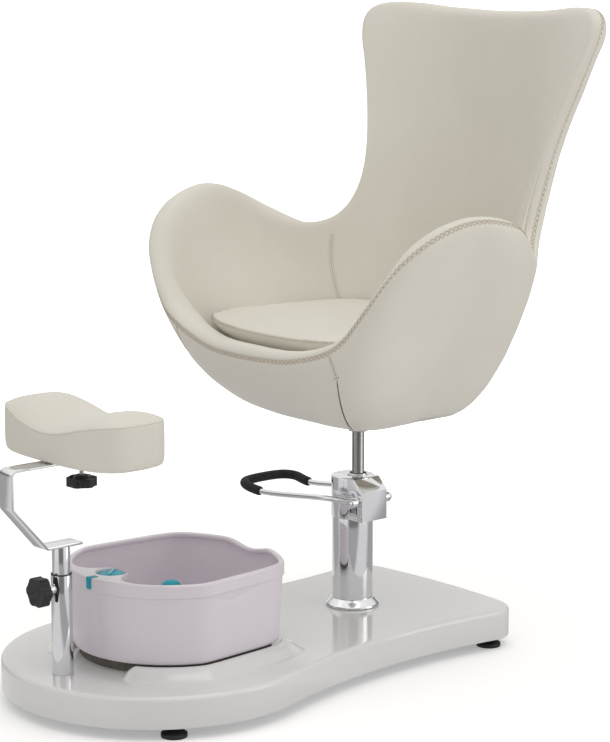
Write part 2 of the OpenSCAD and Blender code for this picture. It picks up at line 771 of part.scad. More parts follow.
module bath_tray() {
    wall = 0.8 * bath_wall;
    low = tray_top - tray_deep;
    front = -bath_ahead - bath_r + lip_t + fit_gap;
    color(plastic) placed() difference() {
        union() {
            translate([0, tray_y, low])
                cylinder(h = tray_deep, r1 = 0.8 * tray_r, r2 = tray_r);
            translate([-tab_w / 2, front + fit_gap, tray_top - wall])
                cube([tab_w, tray_y - front, wall]);
        }
        translate([0, tray_y, low + wall])
            cylinder(h = tray_deep, r1 = 0.8 * tray_r - wall, r2 = tray_r - wall);
        translate([0, tray_y])
            bar(0.2 * dial_r + run_gap, 0, tray_top);
    }
}

module bath_tab() {
    out = -bath_ahead - bath_r - fit_gap;
    in = out + lip_t + 2 * fit_gap;
    top = bath_top + fit_gap;
    color(teal) placed() rotate([90, 0, 90])
        translate([0, 0, -tab_w / 2])
            linear_extrude(tab_w)
                polygon([[out - tab_t, top - tab_w], [out, top - tab_w], [out, top], [in, top],
                         [in, tray_top + fit_gap], [in + tab_t, tray_top + fit_gap],
                         [in + tab_t, top + tab_t], [out - tab_t, top + tab_t]]);
}

module bath_dial() {
    floor_z = tray_top - tray_deep + 0.8 * bath_wall;
    dial_h = 0.4 * dial_r;
    color(teal) placed() translate([0, tray_y]) {
        bar(0.2 * dial_r, tray_top - tray_deep, floor_z + fit_gap);
        bar(dial_r, floor_z + fit_gap, floor_z + fit_gap + 0.6 * dial_h);
        translate([-0.7 * dial_r, -0.1 * dial_r, floor_z + fit_gap])
            cube([1.4 * dial_r, 0.2 * dial_r, dial_h]);
    }
}

module massage_column() {
    high = base_top + dome_top - 0.65 * dome_r - fit_gap;
    color(lilac) placed() translate([0, dome_y, bath_floor + fit_gap])
        cylinder(h = high - bath_floor - fit_gap, r1 = 1.4 * dome_r, r2 = dome_r);
}

module massage_dome() {
    rise = 0.65 * dome_r;
    ball_r = (dome_r^2 + rise^2) / (2 * rise);
    color(teal) placed() translate([0, dome_y, base_top + dome_top - rise]) intersection() {
        translate([0, 0, rise - ball_r])
            sphere(r = ball_r);
        cylinder(h = rise, r = dome_r);
    }
}

module clamp_hole() {
    rod([0, -post_ahead, clamp_z], [0, -clamp_face, clamp_z], foot_stud_r + run_gap);
}

module outer_post() {
    color(chrome) placed() difference() {
        translate(post_c)
            tube(post_r, post_bore, frame_top, post_top);
        clamp_hole();
    }
}

module post_bush() {
    color(black) placed() difference() {
        translate(post_c) {
            tube(post_bore - run_gap, slide_r + run_gap, post_top - bush_h, post_top + post_wall);
            tube(post_r, slide_r + run_gap, post_top + fit_gap, post_top + post_wall);
        }
        clamp_hole();
    }
}

module clamp_boss() {
    color(chrome) placed() difference() {
        rod([0, -post_ahead, clamp_z], [0, -post_ahead - 2 * post_r, clamp_z], 0.45 * post_r);
        translate(post_c)
            bar(post_r, 0, cap_top);
        clamp_hole();
    }
}

// Hand knob with six lobes, from its inner face outwards
module knob() {
    cylinder(h = knob_t, r = 0.8 * knob_r);
    for (i = [0:5])
        rotate(60 * i)
            translate([0.74 * knob_r, 0, 0])
                cylinder(h = knob_t, r = 0.26 * knob_r);
}

module clamp_knob() {
    color(black) placed() difference() {
        translate([0, -post_ahead - 2 * post_r - fit_gap, clamp_z])
            rotate([90, 0, 0])
                knob();
        rod([0, -post_ahead, clamp_z], [0, -clamp_face + knob_t / 2 - post_r - fit_gap, clamp_z],
            foot_stud_r + run_gap);
    }
}

module clamp_stud() {
    color(steel) placed()
        rod([0, -post_ahead - slide_r - fit_gap, clamp_z], [0, -clamp_face + knob_t / 2 - post_r, clamp_z],
            foot_stud_r);
}

module inner_post() {
    color(chrome) placed() translate(post_c)
        tube(slide_r, slide_r - post_wall, post_top - slide_hidden, bar_low - fit_gap);
}

// Points of a bend of radius r at corner b of a path
function bend(a, b, c, r) = let (
    p = (a - b) / norm(a - b),
    q = (c - b) / norm(c - b),
    half = acos(p * q) / 2,
    mid = b + (p + q) / norm(p + q) * r / sin(half),
    from = b + p * r / tan(half) - mid,
    to = b + q * r / tan(half) - mid,
    start = atan2(from[1], from[0]),
    turn = atan2(from[0] * to[1] - from[1] * to[0], from * to))
    arc(mid, r, start, start + turn, 5);
function path_side(path, d) = [for (i = [0:len(path) - 1])
    let (t = path[min(i + 1, len(path) - 1)] - path[max(i - 1, 0)]) path[i] + d * [-t[1], t[0]] / norm(t)];
bar_corners = [
    [0.9 * bar_w - post_ahead, bar_low + bar_t / 2],
    [-1.1 * bar_w - post_ahead, bar_low + bar_t / 2],
    [-bar_reach - post_ahead, bar_low + bar_rise],
    [-bar_reach - post_ahead, arm_z],
    [stud_back + bar_w / 2 - post_ahead, arm_z]];
bar_path = concat([bar_corners[0]],
    [for (i = [1:3]) each bend(bar_corners[i - 1], bar_corners[i], bar_corners[i + 1], bend_r)],
    [bar_corners[4]]);

module footrest_bar() {
    left = path_side(bar_path, bar_t / 2);
    right = path_side(bar_path, -bar_t / 2);
    color(chrome) placed() difference() {
        rotate([90, 0, 90])
            translate([0, 0, -bar_w / 2])
                linear_extrude(bar_w)
                    polygon(concat(left, [for (i = [len(right) - 1:-1:0]) right[i]]));
        translate(stud_c)
            bar(stud_r + fit_gap, arm_z - bar_t, arm_z + bar_t);
    }
}

module bar_spigot() {
    color(chrome) placed() translate(post_c)
        bar(slide_r - post_wall - run_gap, bar_low - spigot_h, bar_low);
}

module pad_board() {
    color("#a98f66") placed() difference() {
        translate([0, stud_c[1], board_low])
            linear_extrude(board_t)
                polygon(squircle(pad_l / 2 - board_t, pad_d / 2 - board_t, 3, 48));
        translate(stud_c)
            bar(2.2 * stud_r + fit_gap, board_low - board_t, board_low + 2 * board_t);
    }
}

module pad_nut() {
    color(steel) placed() translate(stud_c)
        tube(2.2 * stud_r, stud_r + run_gap, board_low, board_low + board_t);
}

module pad_stud() {
    color(steel) placed() translate(stud_c)
        bar(stud_r, arm_z - 1.6 * knob_r, board_low + 0.9 * board_t);
}

module pad_knob() {
    low = arm_z - 2 * knob_r;
    color(black) placed() translate(stud_c) difference() {
        union() {
            translate([0, 0, low])
                knob();
            bar(0.4 * knob_r, low, low + 1.3 * knob_t);
        }
        bar(stud_r + run_gap, arm_z - 1.6 * knob_r - fit_gap, arm_z);
    }
}

// Leg pad: level of its edge and height over a point, as shares of its height
pad_low = board_low + board_t / 4;
pad_edge_share = [[0.985, 0, 0.12], [1, 0, 0.3], [1, 0.34, 0], [0.985, 0.2, 0], [0.95, 0.08, 0],
                  [0.88, 0.02, 0], [0.65, 0, 0], [0.35, 0, 0], [0.06, 0, 0]];
function pad_level(x, share) = share[2] > 0 ? pad_low + share[2] * pad_h
    : pad_low + pad_h * (1 - share[1]) - pad_hollow * (1 + cos(360 * x / pad_l)) / 2;

module pad_cushion() {
    board = squircle(pad_l / 2 - board_t + fit_gap, pad_d / 2 - board_t + fit_gap, 3, 48);
    color(ivory) placed() translate([0, stud_c[1], 0])
        loft(concat(
            [at_height(board, board_low + board_t + fit_gap),
             at_height(board, pad_low),
             at_height(squircle(0.95 * pad_l / 2, 0.95 * pad_d / 2, 3, 48), pad_low)],
            [for (s = pad_edge_share) [for (p = squircle(s[0] * pad_l / 2, s[0] * pad_d / 2, 3, 48))
                [p[0], p[1], pad_level(p[0], s)]]]));
}

module seat_hub() {
    color(steel) placed() translate(ram_c) difference() {
        bar(hub_r, plate_low - hub_h, plate_low);
        bar(ram_r + run_gap, 0, plate_low - hub_lid);
    }
}

module seat_plate() {
    half = [[0.35, -0.85], [0.65, -0.7], [0.65, 0.56], [0.5, 0.68]];
    color(black) placed() difference() {
        translate([0, ram_back + seat_foot_back, plate_low])
            linear_extrude(pump_plate_t)
                polygon(concat([for (s = half) [s[0] * seat_foot_x, s[1] * seat_foot_y]],
                    [for (i = [3:-1:0]) [-half[i][0] * seat_foot_x, half[i][1] * seat_foot_y]]));
        for (spot = bolt_spots)
            translate(spot)
                bar(bolt_r + fit_gap, 0, seat_h);
    }
}

module seat_bolts() {
    color(steel) placed() for (spot = bolt_spots)
        translate([spot[0], spot[1], plate_low])
            bolt(seat_top - plate_low - bolt_r);
}

module seat_board() {
    edge = [for (q = ribs) [q[0][0], q[0][1]]];
    color("#a98f66") placed() difference() {
        translate([0, 0, flange_low]) {
            linear_extrude(seat_top - flange_low)
                polygon(inset(edge, fit_gap));
            linear_extrude(flange_top - flange_low)
                polygon(inset(edge, -board_out));
        }
        for (spot = bolt_spots)
            translate(spot)
                bar(bolt_r + fit_gap, 0, seat_top - bolt_r + fit_gap);
    }
}

// Shares of a rib at which its section is taken, from the edge of the board to the rim
wall_steps = 5;
wall_shares = [for (i = [0:stations - 1]) let (from = share_at(i, board_out + 2 * fit_gap))
    [for (k = [0:wall_steps]) from + (1 - from) * k / wall_steps]];
function outward(i, d, t = 0) = [for (k = [0:wall_steps])
    wall_at(i, wall_shares[i][k], d, k == wall_steps ? t : 0)];
function backward(list) = [for (k = [len(list) - 1:-1:0]) list[k]];
function foot_points(i, d) = [wall_at(i, 0, d), wall_at(i, wall_shares[i][0] / 2, d)];

module seat_shell() {
    half = shell_t / 2;
    color("#b9b4a8") placed() loop([for (i = [0:stations - 1])
        concat(foot_points(i, half), outward(i, half), backward(outward(i, -half)),
            backward(foot_points(i, -half)))],
        wall_steps + 3);
}

module outer_cover() {
    color(ivory) placed() loop([for (i = [0:stations - 1])
        concat(outward(i, roll_r, -fit_gap), backward(outward(i, wall_in, -fit_gap)))],
        wall_steps + 1);
}

module inner_upholstery() {
    color(ivory) placed() loop([for (i = [0:stations - 1]) concat(
        outward(i, -wall_in),
        [wall_at(i, 1, -wall_in, fit_gap), wall_at(i, 1, wall_in, fit_gap), wall_at(i, 1, wall_in)],
        [for (turn = [0:45:135]) wall_at(i, 1, roll_r * cos(turn), roll_r * sin(turn))],
        backward(outward(i, -roll_r)))],
        wall_steps + 1);
}

// Share of its width that the cushion loses from front to rear
cushion_taper = 0.2;

// Side of the cushion: level as a share of its edge, size as a share of the full size
cushion_side_share = [[0, 0.5], [0, 0.77], [0.04, 0.8], [0.25, 0.86], [0.5, 0.91], [0.75, 0.955], [0.95, 1]];

// Rings of the deck: level, half width, half depth and middle as shares
deck_share = [[0, 0.26, 0.42, 0.36], [0.16, 0.34, 0.52, 0.32], [0.35, 0.47, 0.62, 0.21],
              [0.63, 0.6, 0.77, 0.16], [1, 0.7, 0.8, 0.1]];

module seat_deck() {
    color("#8f8b82") placed() loft([for (s = deck_share) let (
        outline = squircle(s[1] * cushion_w / 2, s[2] * cushion_d / 2, 2.2, 48),
        middle = [0, ram_back + s[3] * cushion_d / 2])
        at_height(shift(outline, middle), deck_low + s[0] * (cushion_z - fit_gap - deck_low))]);
}

// Outline of the cushion at a share of its size, wider in front than behind
function cushion_outline(s) = [for (p = squircle(s * cushion_w / 2, s * cushion_d / 2, 2.6, 48))
    [p[0] * (1 - cushion_taper * p[1] / cushion_d), p[1] + ram_back - 0.016 * cushion_d]];

module seat_cushion() {
    color(ivory) placed() loft(concat(
        [for (s = cushion_side_share)
            at_height(cushion_outline(s[1]), cushion_z + s[0] * cushion_edge)],
        [for (s = [0.985, 0.93, 0.8, 0.6, 0.35, 0.08])
            at_height(cushion_outline(s), cushion_z + cushion_edge + cushion_crown * (1 - s^2))]));
}

base_shell();
base_frame();
foot_pad_1();
foot_pad_2();
foot_pad_3();
foot_pad_4();
pump_flange();
pump_tube();
pump_body();
ram_bush();
pump_cap();
ram_seal();
pump_bolts();
ram();
pump_plunger();
plunger_spring();
pedal_frame();
pedal_grip();
pivot_shaft();
pivot_bolts();
foot_bath();
bath_tray();
bath_tab();
massage_column();
massage_dome();
bath_dial();
outer_post();
post_bush();
clamp_boss();
clamp_knob();
clamp_stud();
inner_post();
footrest_bar();
bar_spigot();
pad_board();
pad_cushion();
pad_nut();
pad_knob();
pad_stud();
seat_hub();
seat_plate();
seat_bolts();
seat_board();
seat_shell();
outer_cover();
inner_upholstery();
seat_deck();
seat_cushion();
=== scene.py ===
import json
import math

import bmesh
import bpy
import numpy as np
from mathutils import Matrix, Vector
from mathutils.bvhtree import BVHTree


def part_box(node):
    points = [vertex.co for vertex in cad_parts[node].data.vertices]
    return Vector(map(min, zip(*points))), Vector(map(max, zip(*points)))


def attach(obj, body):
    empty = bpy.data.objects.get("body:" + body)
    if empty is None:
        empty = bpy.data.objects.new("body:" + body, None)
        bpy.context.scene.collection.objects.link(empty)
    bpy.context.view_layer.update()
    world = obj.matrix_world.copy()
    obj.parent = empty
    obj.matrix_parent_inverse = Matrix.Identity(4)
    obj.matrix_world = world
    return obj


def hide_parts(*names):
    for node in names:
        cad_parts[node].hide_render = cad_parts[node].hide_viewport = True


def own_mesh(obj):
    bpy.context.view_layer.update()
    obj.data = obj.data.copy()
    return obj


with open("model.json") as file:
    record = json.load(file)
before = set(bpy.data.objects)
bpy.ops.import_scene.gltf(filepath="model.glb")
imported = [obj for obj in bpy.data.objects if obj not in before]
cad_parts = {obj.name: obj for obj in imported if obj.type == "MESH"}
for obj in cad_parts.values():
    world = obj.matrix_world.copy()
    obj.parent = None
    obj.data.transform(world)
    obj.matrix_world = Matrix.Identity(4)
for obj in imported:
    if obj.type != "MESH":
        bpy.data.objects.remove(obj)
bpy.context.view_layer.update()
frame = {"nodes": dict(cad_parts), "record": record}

scene = bpy.context.scene
nodes = frame["nodes"]
body_of = {node: body for body, names in frame["record"]["behaviour"]["bodies"].items() for node in names}
SLOT_OF = {entry["node"]: entry["material_slot"] for entry in frame["record"]["subparts"]}


def middle(node):
    low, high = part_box(node)
    return (low + high) / 2


AXIS = np.array([0.0, middle("pump_tube").y, 0.0])
UP = np.array([0.0, 0.0, 1.0])
FLIP = np.array([-1.0, 1.0, 1.0])

# Materials

MOTTLE_DETAIL, MOTTLE_STOPS = 4.0, (0.3, 0.7)
COAT_ROUGH, SUBSURFACE_REACH = 0.08, (0.004, 0.003, 0.002)


def set_inputs(tree, node, values):
    """Sets each input of a shader node to a value, or links it to another node's socket."""
    for key, value in values.items():
        if isinstance(value, bpy.types.NodeSocket):
            tree.links.new(value, node.inputs[key])
        else:
            node.inputs[key].default_value = value


def add_node(tree, kind, values=None, **settings):
    """Shader node with its own settings and its inputs."""
    made = tree.nodes.new("ShaderNode" + kind)
    for key, value in settings.items():
        setattr(made, key, value)
    set_inputs(tree, made, values or {})
    return made


def set_ramp(ramp, places, colours):
    for stop, place, colour in zip(ramp.color_ramp.elements, places, colours):
        stop.position = place
        stop.color = (*colour, 1)


def material(name, colour, rough, metal=0.0, spread=0.04, scale=6.0, grain=0.0, grain_scale=900.0, coat=0.0,
             second=None, rough_spread=0.05, stretch=(1, 1, 1), specular=0.5, subsurface=0.0):
    """Procedural material: soft mottling of colour and gloss, and a fine grain in the surface."""
    made = bpy.data.materials.new(name)
    made.use_nodes = True
    tree = made.node_tree
    place = add_node(tree, "TexCoord").outputs["Object"]
    place = add_node(tree, "Mapping", {"Vector": place, "Scale": stretch}).outputs["Vector"]
    mottle = add_node(tree, "TexNoise", {"Vector": place, "Scale": scale, "Detail": MOTTLE_DETAIL})
    mottle = mottle.outputs["Fac"]
    ramp = add_node(tree, "ValToRGB", {"Fac": mottle})
    dark = [c * (1 - spread) for c in colour]
    light = [min(1.0, c * (1 + spread)) for c in (second or colour)]
    set_ramp(ramp, MOTTLE_STOPS, (dark, light))
    gloss = add_node(tree, "MapRange", {"Value": mottle, "To Min": max(0.02, rough - rough_spread),
                                        "To Max": min(1.0, rough + rough_spread)})
    values = {"Base Color": ramp.outputs["Color"], "Roughness": gloss.outputs["Result"], "Metallic": metal,
              "Specular IOR Level": specular, "Coat Weight": coat, "Coat Roughness": COAT_ROUGH}
    if subsurface:
        values["Subsurface Weight"] = subsurface
        values["Subsurface Radius"] = SUBSURFACE_REACH
    if grain:
        cells = add_node(tree, "TexVoronoi", {"Vector": place, "Scale": grain_scale})
        bump = add_node(tree, "Bump", {"Strength": 1.0, "Distance": grain,
                                       "Height": cells.outputs["Distance"]})
        values["Normal"] = bump.outputs["Normal"]
    set_inputs(tree, tree.nodes["Principled BSDF"], values)
    return made


LOOKS = {
    "base_plastic": dict(colour=(0.775, 0.775, 0.775), rough=0.13, coat=0.3, spread=0.006, scale=2,
                         rough_spread=0.01),
    "bath_plastic": dict(colour=(0.765, 0.715, 0.775), rough=0.3, coat=0.2, spread=0.006, scale=2,
                         rough_spread=0.01, subsurface=0.15),
    "teal_plastic": dict(colour=(0.01, 0.36, 0.46), rough=0.38, specular=0.25, spread=0.08, scale=30),
    "black_steel": dict(colour=(0.02, 0.02, 0.022), rough=0.42, spread=0.2, grain=0.0001),
    "chrome": dict(colour=(0.80, 0.81, 0.83), rough=0.07, metal=1.0, spread=0.02, rough_spread=0.03,
                   scale=20),
    "zinc_steel": dict(colour=(0.50, 0.51, 0.53), rough=0.34, metal=1.0, spread=0.1, scale=60,
                       stretch=(1, 1, 8)),
    "ground_steel": dict(colour=(0.36, 0.36, 0.35), rough=0.26, metal=1.0, spread=0.10, scale=30,
                         stretch=(6, 6, 0.4)),
    "bronze": dict(colour=(0.52, 0.36, 0.15), rough=0.36, metal=1.0, spread=0.12, scale=60),
    "black_rubber": dict(colour=(0.018, 0.018, 0.018), rough=0.62, spread=0.25, scale=60, grain=0.0002,
                         grain_scale=600),
    "black_foam": dict(colour=(0.013, 0.013, 0.014), rough=0.78, spread=0.3, scale=200, grain=0.0006,
                       grain_scale=700),
    "black_plastic": dict(colour=(0.015, 0.015, 0.016), rough=0.5, spread=0.2, scale=60, grain=0.0001),
    "plywood": dict(colour=(0.46, 0.41, 0.34), rough=0.6, spread=0.12, scale=14, second=(0.52, 0.47, 0.40),
                    stretch=(1, 14, 14)),
    "moulded_shell": dict(colour=(0.50, 0.48, 0.43), rough=0.6, spread=0.08, grain=0.0005, grain_scale=200),
    "ivory_vinyl": dict(colour=(0.755, 0.727, 0.65), rough=0.46, spread=0.012, scale=4, grain=0.00022,
                        grain_scale=520, second=(0.77, 0.747, 0.675), specular=0.4),
    "grey_foam": dict(colour=(0.34, 0.33, 0.31), rough=0.9, spread=0.2, scale=120, grain=0.0006),
    # darker ivory for seam lines and grooves: painted shade
    "ivory_painted_shade": dict(colour=(0.48, 0.45, 0.39), rough=0.6, spread=0.06, scale=60),
    "thread": dict(colour=(0.46, 0.35, 0.235), rough=0.7, spread=0.2, scale=400),
    "pale_thread": dict(colour=(0.58, 0.49, 0.37), rough=0.7, spread=0.1, scale=300),
    "shadow_line": dict(colour=(0.13, 0.12, 0.105), rough=0.9, spread=0.2, scale=90),
    # pale colour for the painted highlight along the dial's grip
    "grip_highlight": dict(colour=(0.85, 0.9, 0.9), rough=0.35, spread=0.03, scale=80),
}
MATERIALS = {name: material(name, **look) for name, look in LOOKS.items()}

# Mesh helpers

SAME_PLACE = 1e-6


def strip_faces(rows, cols, close_rows=False, close_cols=False, start=0):
    """Quads of a grid of points."""
    i = np.arange(rows if close_rows else rows - 1)[:, None]
    j = np.arange(cols if close_cols else cols - 1)[None, :]
    a = i * cols + j
    b = i * cols + (j + 1) % cols
    c = (i + 1) % rows * cols + (j + 1) % cols
    d = (i + 1) % rows * cols + j
    return (np.stack([a, b, c, d], -1).reshape(-1, 4) + start).tolist()


def solid_faces(rows, cols, start=0, turned=True):
    """Faces of closed rings, with a flat face at each end."""
    first = [start + k for k in range(cols)]
    last = [start + (rows - 1) * cols + k for k in range(cols)]
    return strip_faces(rows, cols, False, True, start) + [first[::-1] if turned else first, last]


def tidy(made, sharp=40, outward=True):
    """Joins doubled points, turns the faces outward and shades the mesh smooth between sharp edges."""
    work = bmesh.new()
    work.from_mesh(made.data)
    bmesh.ops.remove_doubles(work, verts=work.verts, dist=SAME_PLACE)
    if outward:
        bmesh.ops.recalc_face_normals(work, faces=work.faces)
    work.to_mesh(made.data)
    work.free()
    for face in made.data.polygons:
        face.use_smooth = True
    if sharp:
        made.data.set_sharp_from_angle(angle=math.radians(sharp))
    made.data.update()


def piece(name, verts, faces, look, body, sharp=40):
    """Mesh object that rides on a body and takes the given look."""
    mesh = bpy.data.meshes.new(name)
    mesh.from_pydata(np.asarray(verts, float).reshape(-1, 3).tolist(), [], faces)
    made = bpy.data.objects.new(name, mesh)
    scene.collection.objects.link(made)
    mesh.materials.append(MATERIALS[look])
    tidy(made, sharp)
    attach(made, body)
    return made


def apply(made):
    """Replaces the mesh by the result of its modifiers."""
    bpy.context.view_layer.update()
    done = bpy.data.meshes.new_from_object(made.evaluated_get(bpy.context.evaluated_depsgraph_get()))
    made.modifiers.clear()
    made.data = done


def cut_away(made, cutter):
    """Takes the cutter's volume out of the piece, and removes the cutter."""
    cut = made.modifiers.new("cut", "BOOLEAN")
    cut.operation = "DIFFERENCE"
    cut.solver = "EXACT"
    cut.object = cutter
    apply(made)
    bpy.data.objects.remove(cutter)


def cad_copy(node, name, look=None):
    """Copy of a CAD node."""
    made = bpy.data.objects.new(name, nodes[node].data.copy())
    scene.collection.objects.link(made)
    made.data.materials.clear()
    made.data.materials.append(MATERIALS[look or SLOT_OF[node]])
    return made


def stand_for(made, node):
    """Finishes the copy of a CAD node, which it replaces."""
    tidy(made, 35, False)
    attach(made, body_of[node])
    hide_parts(node)


def bevelled(node, width, look=None):
    """Copy of a CAD node with rounded edges, which stands for it."""
    made = cad_copy(node, node + "_finish", look)
    work = bmesh.new()
    work.from_mesh(made.data)
    bmesh.ops.remove_doubles(work, verts=work.verts, dist=SAME_PLACE)
    bmesh.ops.dissolve_limit(work, angle_limit=math.radians(0.6), verts=work.verts, edges=work.edges)
    work.to_mesh(made.data)
    work.free()
    rounding = made.modifiers.new("rounding", "BEVEL")
    rounding.width = width
    rounding.segments = 2
    rounding.limit_method = "ANGLE"
    rounding.angle_limit = math.radians(32)
    rounding.use_clamp_overlap = True
    apply(made)
    stand_for(made, node)
    return made


def unit(v):
    return v / np.maximum(np.linalg.norm(v, axis=-1, keepdims=True), 1e-12)


def run_along(points):
    """Distance from the start along a path, or along each row of a grid."""
    steps = np.linalg.norm(np.diff(points, axis=-2), axis=-1)
    return np.concatenate([np.zeros(steps.shape[:-1] + (1,)), np.cumsum(steps, axis=-1)], -1)


def read_at(at, run, values):
    """Rows of values, which belong to the distances in run, read at other distances."""
    return np.stack([np.interp(at, run, values[:, k]) for k in range(3)], -1)


def grows(x, start, width):
    """0 up to start, then rising to 1 over the width."""
    return np.clip((x - start) / width, 0, 1)


def fades(x, stop, width):
    """1, then falling to 0 over the width that ends at stop."""
    return np.clip((stop - x) / width, 0, 1)


def smooth_loop(values, passes):
    for _ in range(passes):
        values = (np.roll(values, 1, 0) + 2 * values + np.roll(values, -1, 0)) / 4
    return values


def bezier(p0, p1, p2, p3, u):
    return (1 - u) ** 3 * p0 + 3 * (1 - u) ** 2 * u * p1 + 3 * (1 - u) * u ** 2 * p2 + u ** 3 * p3


def catmull(p0, p1, p2, p3, u):
    """Centripetal Catmull-Rom curve between p1 and p2."""
    t1 = np.linalg.norm(p1 - p0) ** 0.5
    t2 = t1 + np.linalg.norm(p2 - p1) ** 0.5
    t3 = t2 + np.linalg.norm(p3 - p2) ** 0.5
    t = t1 + (t2 - t1) * u
    a1 = ((t1 - t) * p0 + t * p1) / t1
    a2 = ((t2 - t) * p1 + (t - t1) * p2) / (t2 - t1)
    a3 = ((t3 - t) * p2 + (t - t2) * p3) / (t3 - t2)
    b1 = ((t2 - t) * a1 + t * a2) / t2
    b2 = ((t3 - t) * a2 + (t - t1) * a3) / (t3 - t1)
    return ((t2 - t) * b1 + (t - t1) * b2) / (t2 - t1)


def spline(knots, first, last, steps):
    """Curve through all the knots."""
    knots = np.asarray(knots, float)
    line = np.vstack([first, knots, last])
    points = [catmull(*line[i - 1:i + 3], k / steps) for i in range(1, len(knots)) for k in range(steps)]
    return np.array(points + [knots[-1]])


def circle(steps):
    """Cosines and sines of equal steps round a circle."""
    turn = np.arange(steps) * 2 * math.pi / steps
    return np.cos(turn), np.sin(turn)


def tube(name, path, radius, look, body, sides=20, closed=False):
    """Round section along a path; radius is one number or one for each point."""
    path = np.asarray(path, float)
    radii = np.broadcast_to(np.asarray(radius, float), (len(path),))
    if closed:
        tangent = unit(np.roll(path, -1, 0) - np.roll(path, 1, 0))
    else:
        tangent = unit(np.gradient(path, axis=0))
    side = np.zeros_like(path)
    side[0] = unit(np.cross(tangent[0], UP if abs(tangent[0, 2]) < 0.9 else [1, 0, 0]))
    for i in range(1, len(path)):
        side[i] = unit(side[i - 1] - tangent[i] * (side[i - 1] @ tangent[i]))
    other = np.cross(tangent, side)
    c, s = circle(sides)
    ring = path[:, None] + radii[:, None, None] * (c[None, :, None] * side[:, None]
                                                   + s[None, :, None] * other[:, None])
    faces = strip_faces(len(path), sides, True, True) if closed else solid_faces(len(path), sides)
    return piece(name, ring, faces, look, body)


def ring_piece(name, rings, look, body, sharp=40, ends=False):
    """Piece from closed rings of points, with a flat face at each end where that is asked for."""
    rows, cols = np.shape(rings)[:2]
    faces = solid_faces(rows, cols, turned=False) if ends else strip_faces(rows, cols, False, True)
    return piece(name, rings, faces, look, body, sharp)


def lathe(name, profile, centre, look, body, sides=96, sharp=30):
    """Profile of (radius, height) points turned about a vertical axis."""
    c, s = circle(sides)
    out = np.stack([c, s, 0 * c], 1)
    rings = np.array([np.asarray(centre) + r * out + z * UP for r, z in profile])
    return ring_piece(name, rings, look, body, sharp=sharp)


def rounded(profile, radius, steps=4):
    """Open profile whose inner corners are rounded."""
    profile = np.asarray(profile, float)
    out = [profile[0]]
    for a, b, c in zip(profile[:-2], profile[1:-1], profile[2:]):
        reach = min(radius, np.linalg.norm(a - b) / 2.1, np.linalg.norm(c - b) / 2.1)
        p, q = b + unit(a - b) * reach, b + unit(c - b) * reach
        out += [(1 - t) ** 2 * p + 2 * t * (1 - t) * b + t ** 2 * q for t in np.linspace(0, 1, steps + 1)]
    return np.array(out + [profile[-1]])


def inset(points, distance):
    """Closed outline moved inwards; distance is one number or one for each point."""
    t = np.roll(points, -1, 0) - np.roll(points, 1, 0)
    return points + np.reshape(distance, (-1, 1)) * unit(np.stack([-t[:, 1], t[:, 0]], 1))


def whole(half):
    """Half outline from the front middle to the rear middle, with its mirror image."""
    return np.vstack([half, (half[-2:0:-1]) * [-1, 1]])


def superellipse(rx, ry, power, steps):
    x, y = (np.sign(way) * np.abs(way) ** (2 / power) for way in circle(steps))
    return np.stack([rx * x, ry * y], 1)


def power_share(x, y, power):
    """How far out a place lies, 1 on the outline of a superellipse of half widths 1."""
    return (np.abs(x) ** power + np.abs(y) ** power) ** (1 / power)


def waves(points, length, seed):
    """Smooth field between about -1 and 1 that varies over the given length."""
    field = np.zeros(points.shape[:-1])
    source = np.random.default_rng(seed)
    for _ in range(9):
        direction = unit(source.normal(size=3)) * 2 * math.pi / (length * source.uniform(0.7, 1.6))
        field += np.sin(points @ direction + source.uniform(0, 2 * math.pi))
    return field / 4


STITCH_SIDES = 5
STITCH_AHEAD, STITCH_UPPER, STITCH_LOWER, STITCH_END = 0.002, 0.0009, 0.0005, 0.0006


def crosses(name, path, normal, pitch, half, body, lift=0.0005, radius=0.00042, look="thread", share=0.46):
    """Row of cross-stitches, or of straight ones where half is 0, along a path that lies on a surface."""
    run = run_along(path)
    count = max(2, int(run[-1] / pitch))
    centres = (np.arange(count) + 0.5) * run[-1] / count
    c, n = read_at(centres, run, path), unit(read_at(centres, run, normal))
    t = unit(read_at(np.minimum(centres + STITCH_AHEAD, run[-1]), run, path)
             - read_at(np.maximum(centres - STITCH_AHEAD, 0), run, path))
    across = unit(np.cross(n, t))
    reach = share * run[-1] / count
    s = np.linspace(-1, 1, STITCH_SIDES)
    cos, sin = circle(STITCH_SIDES)
    verts, faces = [], []
    for way in (1, -1) if half else (1,):
        rise = (lift + (STITCH_UPPER if way > 0 else STITCH_LOWER) * (1 - s ** 2)
                - STITCH_END * np.abs(s) ** 6)
        line = (c[:, None] + t[:, None] * (reach * s)[None, :, None]
                + across[:, None] * (way * half * s)[None, :, None] + n[:, None] * rise[None, :, None])
        beside = np.cross(n, unit(t * reach + across * way * half))
        ring = line[:, :, None] + radius * (cos[None, None, :, None] * beside[:, None, None]
                                            + sin[None, None, :, None] * n[:, None, None])
        for stitch in ring:
            faces += solid_faces(STITCH_SIDES, STITCH_SIDES, len(verts) * STITCH_SIDES ** 2)
            verts.append(stitch.reshape(-1, 3))
    return piece(name, np.vstack(verts), faces, look, body, sharp=None)


# Seat: rim and ribs of the bucket, in the same places as the CAD model

